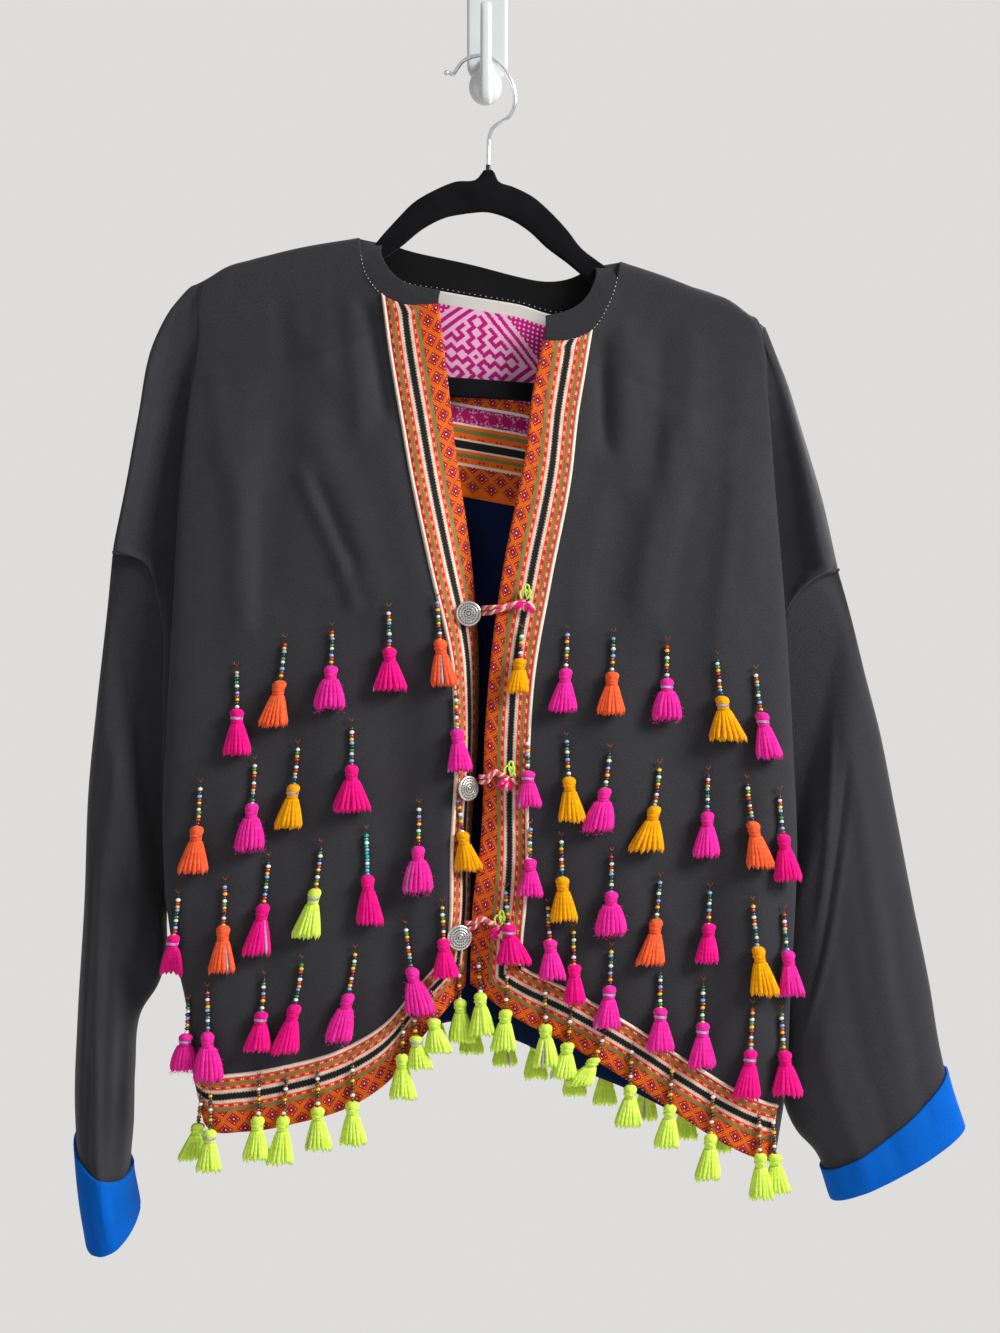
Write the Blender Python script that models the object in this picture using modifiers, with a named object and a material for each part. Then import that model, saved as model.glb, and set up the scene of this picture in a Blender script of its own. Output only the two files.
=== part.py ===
"""Embroidered cropped jacket hung on a flat velvet hanger and a plastic wall hook.

Sizes are in millimetres until the meshes are made. X runs across the jacket to the
viewer's right, Y runs back to the wall, Z runs up. The origin is the middle of the wall
hook's flat back. Right and left in the names are the wearer's.
"""
import math

import bmesh
import bpy
from mathutils import Vector
from mathutils.bvhtree import BVHTree

MM = 0.001

CLOTH = 1.6             # wall of the black twill
SEAM = 0.3              # gap between neighbouring pieces
RIBBON = 1.0            # wall of the ribbon bands
LINING = 1.0            # wall of the lining
PANEL = 1.2             # wall of the embroidered neck panel
CUFF = 2.0              # wall of the doubled cuffs
COLLAR = 2.0            # wall of the stand collar
SLEEVE_SEAM = 2.0       # from a panel's rim to the middle of the sleeve's rim
COLLAR_SEAM = 1.1       # from a panel's rim to the collar's rim
PIPING = 2.2            # wall of the pipings
PIPING_WIDTH = 3.0      # width of the pipings
BAND_LEVEL = CLOTH / 2 + SEAM + RIBBON / 2
PIPING_LEVEL = CLOTH / 2 + SEAM + PIPING / 2
PIPING_INSET = 0.2      # share of a piping's width left free beside its band
PIPING_ROOT = 1.0       # from a piping's face to the middle of a string fused into it
SHOULDER_DEPTH = -15.0  # depth of the shoulder line, over the hanger
FRONT_RIM = -15.5       # depth of the fronts' outer rims
BACK_RIM = -14.2        # depth of the back's rims over the shoulders
SIDE_RIM = -13.2        # depth of the back's rims at the side seams
NECK_TURN = 0.012       # share of the back's width in which its rim leaves the shoulder
BACK_DEPTH = -6.0       # depth of the flat of the back at the shoulders
HEM_STAND_OFF = 10.0    # how much further the back's hem stands off the wall
ARMHOLE_BACK = -9.0     # depth of the back at the sleeve seams
HEM_BAND_SHARE = 0.938  # where the hem bands start, as a share of the height
HEM_PIPING_SHARE = HEM_BAND_SHARE - 0.0025
ROLL_SHARE = 0.012      # how much of the height rolls over the shoulder

HANGER_DEPTH = -16.0
HANGER_THICK = 6.0
HANGER_NECK = [(4.4, -93.5), (-2.6, -93.5)]
OUTSIDE_POINTS = 54     # points of the hanger's outer outline
INSIDE_POINTS = 34
CHAMFER = 1.0           # edges of the flat plates
WIRE_RADIUS = 1.5
WIRE_POINTS = 26
WIRE_TIP = 1.35         # how much thicker the wire's ball tip is

PLATE_SIZE = (31, 6, 78)
PLATE_CENTRE = (0, -3, 13)
PLATE_CORNER = 13       # radius of the plate's corners
PLATE_ROUNDING = 2
PLATE_FRONT = -5.9      # edges in front of this are the plate's front edges
CORNER_STEPS = 5
ROUNDING_STEPS = 2
CROOK_THICK = 8.4
CROOK_SHIFT = -1.0      # the crook's middle across the plate
CROOK_POINTS = 30
NOSE_SIZE = (12.6, 8, 14)
NOSE_CENTRE = (-1.4, -17.5, -33.5)
NOSE_SEGMENTS = 14
NOSE_RINGS = 8
# Side view of the crook: depth, z, along its outer edge, its inner edge and the plate
CROOK_OUTLINE = [
    [(-3, -24), (-9, -38), (-15, -46), (-21, -48), (-26, -44), (-28, -34), (-27.5, -14),
     (-26, 6), (-24, 24), (-22, 32)],
    [(-22, 32), (-19.6, 24), (-19.8, 6), (-20, -8), (-18.6, -13), (-16, -13.9),
     (-12, -13.4), (-8, -10), (-3, -4)],
    [(-3, -4), (-3, -24)],
]

STRING_RADIUS = 1.7     # the string of beads of a tassel
HEAD_RADIUS = 4.8       # the tied head of a tassel
SKIRT_RADIUS = 8.0      # the middle of a lock at the end of the skirt
DROP = 67.0             # full height of a tassel
STRING_BACK = 1.5       # from the middle of a six-sided string to its flat back
LEAST_GAP = 0.4         # between a tassel's string and the cloth
HEAD_GAP = 1.2          # between a tassel's head and the cloth
TASSEL_SIDES = 6
LOCK_REACH = 0.55       # depth of a skirt against its width
LOCK_ROOM = 8.0         # from a skirt's middle to the back of its locks
LOCK_ROOT = 0.66        # share of the drop at which the locks part
LOCK_TURN = 0.5         # turn of the locks, in sides of the string
# Profile of a tassel down to its locks: share of the drop, radius
TASSEL_RINGS = [(0.0, STRING_RADIUS), (0.46, STRING_RADIUS), (0.51, HEAD_RADIUS - 0.4),
                (0.63, HEAD_RADIUS)]
# Stops down a tassel: share of the drop, share of the sway, half width, room behind it
TASSEL_STOPS = [
    (0.12, 0.05, 3, STRING_BACK + LEAST_GAP),
    (0.25, 0.1, 3, STRING_BACK + LEAST_GAP),
    (0.48, 0.35, 4, HEAD_RADIUS + HEAD_GAP),
    (0.63, 0.5, 5, HEAD_RADIUS + HEAD_GAP),
    (0.8, 0.75, 8, LOCK_ROOM * 0.85),
    (1.0, 1.0, 10, LOCK_ROOM),
]
KNOT_SPAN = (0, 4)      # drops over which a knot's depth is found

# Opening, neck and body outlines as seen from the front: (x, z)
RIGHT_NECK = [(-97, -148), (-89, -180), (-79, -192), (-62, -200), (-36, -201)]
RIGHT_OPENING = [(-36, -201), (-30, -256), (-25, -304), (-13, -394), (-8, -460), (-9, -536),
                 (-13, -590), (-14, -650), (-17, -710)]
RIGHT_SHOULDER = [(-97, -148), (-144, -156), (-176, -164), (-197, -170), (-210, -178)]
RIGHT_FOLD = [(-210, -178), (-218, -196), (-218, -216), (-225, -277), (-231, -340),
              (-234, -408), (-239, -515), (-241, -610), (-235, -675), (-224, -723),
              (-219, -774), (-212, -806)]
RIGHT_HEM = [(-17, -710), (-50, -750), (-74, -781), (-96, -796), (-142, -811), (-180, -817),
             (-204, -816), (-212, -806)]
RIGHT_ARM_LINE = [(-226, -187), (-242, -206), (-252, -226), (-264, -284), (-273, -333),
                  (-284, -387)]
RIGHT_ARMHOLE = [(-284, -387), (-263, -391), (-250, -425), (-247, -500), (-246, -580),
                 (-244, -645)]
RIGHT_SIDE = [(-244, -645), (-232, -690), (-223, -730), (-214, -775), (-206, -802)]

LEFT_NECK = [(101, -166), (92, -198), (77, -221), (62, -227), (42, -228)]
LEFT_OPENING = [(42, -228), (34, -268), (29, -311), (13, -394), (5, -450), (-1, -520),
                (-4, -600), (-10, -650), (-12, -708)]
LEFT_SHOULDER = [(101, -166), (137, -178), (160, -187), (183, -195), (198, -206)]
LEFT_FOLD = [(198, -206), (207, -226), (211, -262), (217, -345), (223, -426), (228, -520),
             (231, -620), (229, -664), (226, -713), (222, -790), (214, -841)]
LEFT_HEM = [(-12, -708), (20, -732), (59, -752), (101, -777), (144, -806), (176, -826),
            (200, -837), (214, -841)]
LEFT_ARM_LINE = [(211, -216), (218, -234), (227, -257), (239, -296), (253, -343), (266, -400)]
LEFT_ARMHOLE = [(266, -400), (247, -409), (232, -424), (225, -446), (221.5, -480), (219, -560),
                (218, -640)]
LEFT_SIDE = [(218, -640), (214, -700), (211, -760), (208, -804), (205, -832)]

BACK_NECK = [(-97, -148), (-86, -166), (-63, -180), (-34, -185), (-6, -190), (24, -195),
             (56, -203), (84, -192), (101, -166)]
BACK_HEM = [(-206, -802), (-143, -784), (-67, -756), (-22, -742), (23, -757), (63, -776),
            (105, -793), (162, -820), (205, -832)]

# Depth of a front, down the height: share, opening edge, middle, side fold, band's share
RIGHT_DEPTH = [
    (0.00, -22, -22, -22, 0.212),
    (0.06, -24, -22, -21, 0.212),
    (0.154, -28, -27, -25, 0.203),
    (0.30, -27, -36, -31, 0.167),
    (0.45, -27, -45, -36, 0.131),
    (0.60, -28, -52, -40, 0.078),
    (0.75, -29, -57, -43, 0.064),
    (0.88, -38, -58, -44, 0.07),
    (1.00, -47, -56, -44, 0.10),
]
LEFT_DEPTH = [
    (0.00, -22, -22, -22, 0.176),
    (0.06, -24, -22, -21, 0.176),
    (0.167, -30, -28, -25, 0.176),
    (0.30, -38, -36, -31, 0.168),
    (0.45, -44, -45, -36, 0.153),
    (0.60, -48, -52, -40, 0.133),
    (0.75, -50, -57, -43, 0.14),
    (0.88, -52, -58, -44, 0.155),
    (1.00, -51, -56, -44, 0.155),
]
# Side of a front, down the height: share, valley inwards of the fold and its depth,
# arm cloth inwards of the outer line and its depth, depth of the outer line
RIGHT_SIDE_FORM = [
    (0.00, -6, -20, 5, -20, -15.5),
    (0.05, -6, -20, 5, -21, -15.5),
    (0.12, -2, -19, 7, -27, -15.5),
    (0.20, 5, -18, 10, -31, -15.5),
    (0.27, 7, -18, 13, -33, -15.5),
    (0.32, 7, -18, 12, -32, -16),
    (0.36, 6, -18, 8, -22, -17),
    (0.45, 5, -20, 5, -18, -17),
    (0.60, 5, -22, 5, -18, -17),
    (0.72, 3, -25, 4, -19, -16.5),
    (0.82, 1, -28, -2, -21, -16.2),
    (1.00, 1, -28, -2, -21, -16.2),
]
LEFT_SIDE_FORM = [
    (0.00, -6, -20, 5, -20, -15.5),
    (0.05, -3, -20, 5, -21, -15.5),
    (0.12, 0, -22, 6, -26, -15.5),
    (0.20, 2, -22, 9, -30, -15.5),
    (0.26, 3, -21, 11, -31, -15.5),
    (0.30, 4, -20, 10, -30, -16),
    (0.36, 5, -19, 3, -20, -17),
    (0.45, 5, -20, 5, -18, -17),
    (0.60, 7, -22, 5, -18, -17),
    (0.72, 9, -25, 4, -19, -16.5),
    (0.82, 10, -27, -3, -20, -16.2),
    (1.00, 8, -28, -3, -21, -16.2),
]
# Large folds of the fronts: from x, z to x, z, half width, how far they stand out
RIGHT_FOLDS = [
    (-132, -290, -98, -370, 15, 3.5),
    (-98, -370, -84, -420, 13, 2.5),
    (-186, -300, -178, -450, 18, 3.0),
    (-156, -250, -168, -420, 16, -2.5),
    (-110, -470, -130, -700, 22, 3.0),
    (-60, -480, -70, -700, 18, -3.0),
    (-190, -560, -182, -740, 18, 3.0),
]
LEFT_FOLDS = [
    (150, -290, 118, -440, 18, 3.0),
    (110, -300, 90, -430, 15, -2.5),
    (196, -330, 176, -520, 18, 2.5),
    (90, -500, 110, -720, 22, 3.0),
    (150, -520, 160, -740, 20, -2.5),
    (196, -600, 190, -780, 16, 3.0),
]
BACK_FOLDS = [
    (-150, -260, -130, -640, 26, -2.5),
    (-60, -300, -40, -700, 24, 1.4),
    (50, -300, 40, -680, 26, -2.0),
    (130, -280, 150, -700, 26, -2.6),
]

# Sleeve rings: outer x, z, inner x, z, front depth, back depth, sag of the front
RIGHT_RINGS = [
    (-284, -387, -244, -645, -30, -6, 0),
    (-288, -430, -244, -668, -34, -6, 0),
    (-295, -498, -244, -691, -37, -6, 0),
    (-301, -560, -250, -713, -40, -6, 0),
    (-304, -650, -263, -734, -44, -6, 0),
    (-309, -737, -268, -778, -48, -7, 2),
    (-311, -794, -269, -818, -50, -8, 6),
    (-309, -834, -271, -855, -50, -9, 12),
    (-306, -866, -267, -878, -49, -10, 17),
    (-301, -897, -266, -884, -46, -11, 21),
]
LEFT_RINGS = [
    (266, -400, 218, -640, -28, -6, 0),
    (275, -432, 221, -664, -32, -6, 0),
    (286, -478, 222, -690, -34, -6, 0),
    (297, -521, 222, -715, -36, -6, 0),
    (309, -582, 223, -742, -37, -6, 0),
    (322, -650, 223, -772, -38, -6, 0),
    (335, -714, 225, -800, -38, -7, 2),
    (343, -762, 235, -824, -38, -8, 6),
    (350, -791, 249, -839, -37, -8, 12),
    (360, -822, 263, -875, -36, -9, 6),
]
RIGHT_CUFF_START = 0.86  # share of the sleeve's length where its cuff begins
LEFT_CUFF_START = 0.895

# Upper edge of the stand collar: right front, round the back, left front: (x, y, z)
COLLAR_EDGE = (
    [(-35, -30.5, -190), (-67, -28, -181), (-77, -26, -169), (-83, -24, -156),
     (-85, -22.6, -147.5), (-86, -15, -141.5)],
    [(-86, -15, -141.5), (-78, -9, -146), (-62, -8.5, -154.5), (-37, -8, -161),
     (-9, -8, -167), (21, -8, -175), (50, -8.5, -180), (76, -9, -170), (90, -15, -158)],
    [(90, -15, -158), (88, -22.6, -166), (84, -24, -174), (75, -26, -195),
     (59, -29, -206), (44, -32, -209)],
)

# Velvet hanger, seen from the front: outside and inside of its flat frame
HANGER_OUTSIDE = [
    [(-2.6, -93.5), (-3.2, -97), (-7, -103), (-24, -105), (-39, -111), (-56, -121),
     (-68, -133), (-79, -145), (-88, -154.6), (-97, -157.6), (-144, -162.2), (-176, -168.2),
     (-196, -173.8), (-206, -181), (-211, -190), (-212, -202), (-207, -219), (-195, -240)],
    [(-195, -240), (-178, -255), (-120, -261), (-31, -268), (36, -272), (120, -280),
     (180, -284), (196, -276), (205, -259), (207, -244), (206, -230), (200, -219)],
    [(200, -219), (193, -211), (183, -200), (160, -191.6), (137, -183.5), (101, -174.5),
     (92, -170.6), (83, -164.5), (72, -156), (61, -142), (48, -128), (34, -116), (20, -109),
     (8, -104), (5.2, -97), (4.4, -93.5)],
]
HANGER_INSIDE = [
    (-15, -129), (-31, -132), (-49, -141), (-65, -154), (-81, -165), (-112, -176),
    (-142, -183), (-175, -191), (-191, -197), (-195, -206), (-192, -219), (-182, -232),
    (-165, -241), (-120, -246), (-31, -253), (36, -258), (120, -266), (172, -270), (187, -262),
    (193, -247), (190, -236), (182, -228), (160, -218), (136, -209), (102, -195), (77, -180),
    (61, -167), (45, -155), (31, -142), (14, -132), (-1, -128),
]
WIRE_ROUTE = [
    (-32, -22.5), (-29.5, -22), (-26, -23.5), (-23.5, -20), (-18.5, -13.5), (-12, -10.2),
    (-5, -9), (2, -11), (9, -16), (16, -25), (20.5, -36), (20.8, -46), (17, -55), (10, -60),
    (4, -64.5), (1.6, -71), (1, -80), (0.9, -94.4),
]

BUTTON_RADIUS = 9.6
BUTTON_BACK = 2.2       # room behind the middle of a button's rim
BUTTON_TILT_ROOM = 6.0  # more of it behind a button that is turned on edge
SHANK_RADIUS = 1.6
SHANK_REACH = 14.0      # the longest shank
SHANK_TOP = -1.1        # where the shank leaves the button's back
BUTTON_STEPS = 14
# Half section of a button: radius, height over its middle
BUTTON_PROFILE = [(0.0, 1.9), (6.0, 1.6), (8.9, 0.9), (BUTTON_RADIUS, 0.0), (8.6, -0.8)]
# Buttons: x, z, turn about Z in degrees
BUTTONS = [(-13.5, -433.5, 0), (-13.5, -563, 40), (-20, -673, 15)]
LOOP_RADIUS = 1.8
LOOP_POINTS = 8
LOOP_ARCH = (1.5, 2.0)  # how far a loop arches off the band at its first and second bend
# Loops: sewn end x, z, middle x, z, end at the button x, z
LOOPS = [
    (29, -424, 14, -429, 2.5, -431),
    (17, -555, 6, -551, 0.5, -556),
    (10, -665, -4, -659, -10.0, -664),
]

# Tassels sewn to the fronts: number, x, z of the knot, sway of the end, yarn
RIGHT_TASSELS = [
    (1, -186, -472, 2, "hot_pink"),
    (2, -150, -451, -9, "coral"),
    (3, -115, -442, -1, "pink"),
    (4, -73, -428, 2, "hot_pink"),
    (5, -212, -558, -5, "coral"),
    (6, -172, -541, -3, "pink"),
    (7, -140, -529, -7, "golden"),
    (8, -100, -513, 1, "hot_pink"),
    (9, -89, -592, 3, "hot_pink"),
    (10, -50, -573, -1, "pink"),
    (11, -193, -630, -2, "coral"),
    (12, -161, -612, -9, "hot_pink"),
    (13, -122, -602, -11, "golden"),
    (14, -206, -708, 1, "pink"),
    (15, -136, -687, -14, "hot_pink"),
    (16, -97, -680, -13, "pink"),
]
LEFT_TASSELS = [
    (17, 60, -444, -4, "pink"),
    (18, 94, -447, -3, "coral"),
    (19, 134, -453, -1, "pink"),
    (20, 171, -463, 8, "golden"),
    (21, 59, -523, 4, "golden"),
    (22, 91, -532, -10, "pink"),
    (23, 128, -544, -11, "golden"),
    (24, 164, -549, -2, "pink"),
    (25, 193, -555, 9, "coral"),
    (26, 55, -597, 2, "golden"),
    (27, 92, -608, -1, "pink"),
    (28, 128, -627, -8, "coral"),
    (29, 196, -644, 9, "golden"),
    (30, 160, -704, -2, "pink"),
    (31, 196, -720, -5, "hot_pink"),
]
# Tassels that hang from the pipings: z of the knot on a front, or x on a hem, and drop
RIGHT_BAND_TASSELS = [(-420, 66), (-490, 62), (-567, 60)]
LEFT_BAND_TASSELS = [(-521, 54), (-588, 54)]
RIGHT_HEM_TASSELS = [(-200, 62), (-172, 62), (-148, 66), (-125, 62), (-99, 64), (-66, 64),
                     (-38, 60)]
LEFT_HEM_TASSELS = [(-3, 62), (18, 62), (43, 62), (70, 60), (105, 62), (136, 62), (167, 64),
                    (197, 66)]
BACK_HEM_TASSELS = [(-180, 62), (-130, 62), (-80, 62), (-35, 62), (15, 62), (55, 62),
                    (100, 62), (150, 62), (190, 62)]

# Shares of the width where a front's mesh has lines: over the band, the body and the side
BAND_COLUMNS = (0.0, 0.34, 0.67, 1.0)
BODY_COLUMNS = (0.17, 0.36, 0.56, 0.76, 0.91, 0.975, 1.0)
SIDE_COLUMNS = (1.22, 1.52, 1.80, 1.95, 2.0)
BACK_COLUMNS = (0.0, 0.002, 0.015, 0.05, 0.12, 0.19, 0.26, 0.35, 0.43, 0.51, 0.59, 0.67, 0.74,
                0.81, 0.88, 0.95, 0.985, 0.998, 1.0)
# Shares of the height: down to the armhole, along the armhole, and down to the hem
UPPER_ROWS = (0.0, 0.005, 0.025, 0.07, 0.16, 0.28, 0.40, 0.52, 0.68, 0.84)
ARMHOLE_ROWS = (0.0, 0.08, 0.175, 0.34, 0.52, 0.68, 0.84, 1.0)
SIDE_ROWS = (0.3, 0.65)
HEM_ROWS = (HEM_BAND_SHARE - 0.005, HEM_BAND_SHARE, 0.97, 1.0)
SETTLED = 0.07          # share of a sleeve's length in which it takes its own form
SWELLED = 0.22          # share of its length in which it reaches its depth
SLEEVE_ROWS = (0.0, 0.03, 0.08, 0.15, 0.24, 0.35, 0.48, 0.62, 0.75)
CUFF_ROWS = (0.0, 0.5, 1.0)
NECK_PANEL_ROWS = 10
HALVINGS = 24           # steps of a search for a share

# Plain look of each kind of piece: colour, roughness, metal
LOOKS = {
    "twill": ((0.035, 0.035, 0.04), 0.8, 0.0),
    "blue": ((0.01, 0.12, 0.55), 0.8, 0.0),
    "navy": ((0.005, 0.02, 0.08), 0.7, 0.0),
    "ribbon": ((0.85, 0.15, 0.03), 0.8, 0.0),
    "magenta": ((0.6, 0.03, 0.25), 0.8, 0.0),
    "piping": ((0.85, 0.70, 0.55), 0.8, 0.0),
    "velvet": ((0.01, 0.01, 0.012), 0.9, 0.0),
    "steel": ((0.7, 0.72, 0.75), 0.2, 1.0),
    "plastic": ((0.85, 0.85, 0.85), 0.3, 0.0),
    "silver": ((0.75, 0.75, 0.74), 0.3, 1.0),
    "cord": ((0.9, 0.35, 0.4), 0.8, 0.0),
    "hot_pink": ((0.9, 0.02, 0.24), 0.9, 0.0),
    "pink": ((0.85, 0.05, 0.33), 0.9, 0.0),
    "coral": ((1.0, 0.14, 0.05), 0.9, 0.0),
    "golden": ((0.9, 0.38, 0.01), 0.9, 0.0),
}


class Track:
    """A curve through runs of points: smooth along a run, with a corner between runs."""

    def __init__(self, *runs):
        self.spans = []
        self.ends = []
        self.length = 0.0
        for run in runs:
            self.add_run([Vector(point) for point in run])

    def add_run(self, points):
        """Add the spans between a run's points."""
        for index in range(len(points) - 1):
            start = points[index]
            end = points[index + 1]
            before = points[index - 1] if index else 2 * start - end
            after = points[index + 2] if index + 2 < len(points) else 2 * end - start
            reach = (end - start).length
            leave = self.slope(before, start, end) * reach
            arrive = self.slope(start, end, after) * reach
            self.spans.append((self.length, reach, start, end, leave, arrive))
            self.length += reach
        self.ends.append(self.length)

    @staticmethod
    def slope(before, middle, after):
        """Direction of the curve at the middle one of three points."""
        first = (middle - before).length
        second = (after - middle).length
        slope = (middle - before) / first * second + (after - middle) / second * first
        return slope / (first + second)

    def at(self, share):
        """Point at a share of the whole length."""
        distance = min(max(share, 0.0), 1.0) * self.length
        for begin, reach, start, end, leave, arrive in self.spans:
            if distance <= begin + reach:
                break
        t = min((distance - begin) / reach, 1.0)
        rest = 1 - t
        ends = start * (1 + 2 * t) * rest ** 2 + end * (3 - 2 * t) * t ** 2
        return ends + leave * t * rest ** 2 - arrive * rest * t ** 2

    def corner(self, run):
        """Share of the length at which a run ends."""
        return self.ends[run] / self.length


class Rows:
    """A table read smoothly, and without overshoot, between its rows."""

    def __init__(self, rows):
        self.rows = rows

    def slope(self, index, column):
        """Slope of a column at a row."""
        if index in (0, len(self.rows) - 1):
            return 0.0
        before, here, after = self.rows[index - 1:index + 2]
        first = (here[column] - before[column]) / (here[0] - before[0])
        second = (after[column] - here[column]) / (after[0] - here[0])
        if first * second <= 0:
            return 0.0
        return 2 * first * second / (first + second)

    def at(self, key):
        """Every column but the first, at a value of the first."""
        key = min(max(key, self.rows[0][0]), self.rows[-1][0])
        index = 0
        while index < len(self.rows) - 2 and key > self.rows[index + 1][0]:
            index += 1
        start = self.rows[index]
        end = self.rows[index + 1]
        step = end[0] - start[0]
        t = (key - start[0]) / step
        rest = 1 - t
        values = []
        for column in range(1, len(start)):
            ends = start[column] * (1 + 2 * t) * rest ** 2 + end[column] * (3 - 2 * t) * t ** 2
            leave = self.slope(index, column) * step
            arrive = self.slope(index + 1, column) * step
            values.append(ends + leave * t * rest ** 2 - arrive * rest * t ** 2)
        return values


def blend(start, end, share):
    """Value or point between two others."""
    return start + (end - start) * share


def ease(value):
    """Soft step from 0 to 1."""
    value = min(max(value, 0.0), 1.0)
    return value * value * (3 - 2 * value)


def bulge(share):
    """Quarter round from 0 to 1."""
    share = min(max(share, 0.0), 1.0)
    return math.sqrt(1 - (1 - share) ** 2)


def fold_height(folds, x, z):
    """How far the large folds stand out at a place."""
    height = 0.0
    place = Vector((x, z))
    for x_top, z_top, x_end, z_end, half_width, rise in folds:
        top = Vector((x_top, z_top))
        along = Vector((x_end, z_end)) - top
        share = (place - top).dot(along) / along.length_squared
        foot = top + along * min(max(share, 0.0), 1.0)
        ends = ease((share + 0.25) / 0.4) * ease((1.25 - share) / 0.4)
        height += rise * ends * math.exp(-((place - foot).length / half_width) ** 2)
    return height


def coons(u, v, top, bottom, near, far):
    """Point of the flat patch between four outlines."""
    across = blend(top.at(u), bottom.at(u), v)
    down = blend(near.at(v), far.at(v), u)
    upper = blend(top.at(0), top.at(1), u)
    lower = blend(bottom.at(0), bottom.at(1), u)
    return across + down - blend(upper, lower, v)


def height_rows(seam):
    """Shares of the height where panels that meet at a seam have mesh lines."""
    start = seam.corner(0)
    end = seam.corner(1)
    shares = [start * share for share in UPPER_ROWS]
    shares += [blend(start, end, share) for share in ARMHOLE_ROWS]
    shares += [blend(end, HEM_ROWS[0], share) for share in SIDE_ROWS]
    return shares + list(HEM_ROWS)


def snapped(shares, corners):
    """Shares with the nearest one moved to each corner."""
    shares = list(shares)
    for corner in corners:
        nearest = min(range(len(shares)), key=lambda index: abs(shares[index] - corner))
        shares[nearest] = corner
    return shares


class Front:
    """One front: u is 0 at the opening, 1 at the body's fold and 2 at the outer seams."""

    def __init__(self, shoulder, fold, neck, opening, hem, outer, depth, side, folds):
        self.top = Track(shoulder)
        self.fold = Track(fold)
        self.near = Track(neck, opening)
        self.hem = Track(hem)
        self.outer = Track(*outer)
        self.depth = Rows(depth)
        self.side = Rows(side)
        self.folds = folds
        self.inward = 1 if fold[0][0] < 0 else -1

    def rolled(self, depth, v):
        """Depth with the roll over the shoulder."""
        return FRONT_RIM + (depth - FRONT_RIM) * bulge(v / ROLL_SHARE)

    def body(self, u, v):
        """Point between the opening and the body's fold."""
        flat = coons(u, v, self.top, self.hem, self.near, self.fold)
        edge, middle, fold, band = self.depth.at(v)
        curl = (1 - min(u / (1.6 * band), 1.0)) ** 2
        turn = math.sqrt(max(1 - max((u - 0.88) / 0.12, 0.0) ** 2, 0.0))
        depth = blend(fold, blend(middle, edge, curl), turn)
        calm = ease(u / 0.3) * turn * ease(v / 0.12)
        depth -= fold_height(self.folds, flat.x, flat.y) * calm
        return Vector((flat.x, self.rolled(depth, v), flat.y))

    def seam_turn(self, v):
        """1 where the outer seam faces the back, 0 along the armhole."""
        start = self.outer.corner(0)
        end = self.outer.corner(1)
        return 1 - ease((v - start) / 0.04 + 0.5) * ease((end - v) / 0.05 + 0.5)

    def wrap(self, v):
        """Curve from the body's fold through the valley to the outer seam."""
        valley_in, valley_depth, arm_in, arm_depth, seam_depth = self.side.at(v)
        fold = self.body(1.0, v)
        seam = self.outer.at(v)
        turn = self.seam_turn(v)
        lip_in = blend(2.4, 0.8, turn)
        lip_depth = seam_depth - blend(0.3, 2.4, turn)
        stops = [
            (fold.x + self.inward * valley_in, valley_depth, 0.4),
            (seam.x + self.inward * arm_in, arm_depth, 0.8),
            (seam.x + self.inward * lip_in, lip_depth, 0.97),
            (seam.x, seam_depth, 1.0),
        ]
        points = [fold]
        for x, depth, share in stops:
            points.append(Vector((x, self.rolled(depth, v), blend(fold.z, seam.y, share))))
        return Track(points)

    def point(self, u, v):
        """Point of the middle of the cloth."""
        if u <= 1:
            return self.body(u, v)
        return self.wrap(v).at(u - 1)

    def seam_depth(self, v):
        """Depth of the outer seam."""
        return self.rolled(self.side.at(v)[4], v)

    def rows(self):
        """Shares of the height where the mesh has lines."""
        return snapped(height_rows(self.outer), (self.near.corner(0),))

    def columns(self, v):
        """Shares of the width where the mesh has lines."""
        band = self.depth.at(v)[3]
        width = abs(self.fold.at(v).x - self.near.at(v).x)
        piping = band + PIPING_WIDTH / width
        shares = [band * share for share in BAND_COLUMNS]
        shares.append(piping)
        shares += [blend(piping, 1.0, share) for share in BODY_COLUMNS]
        return shares + list(SIDE_COLUMNS)

    def grid(self):
        """Rows of points over the whole front."""
        lines = []
        for v in self.rows():
            curve = self.wrap(v)
            line = []
            for u in self.columns(v):
                line.append(self.body(u, v) if u <= 1 else curve.at(u - 1))
            lines.append(line)
        return lines


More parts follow.
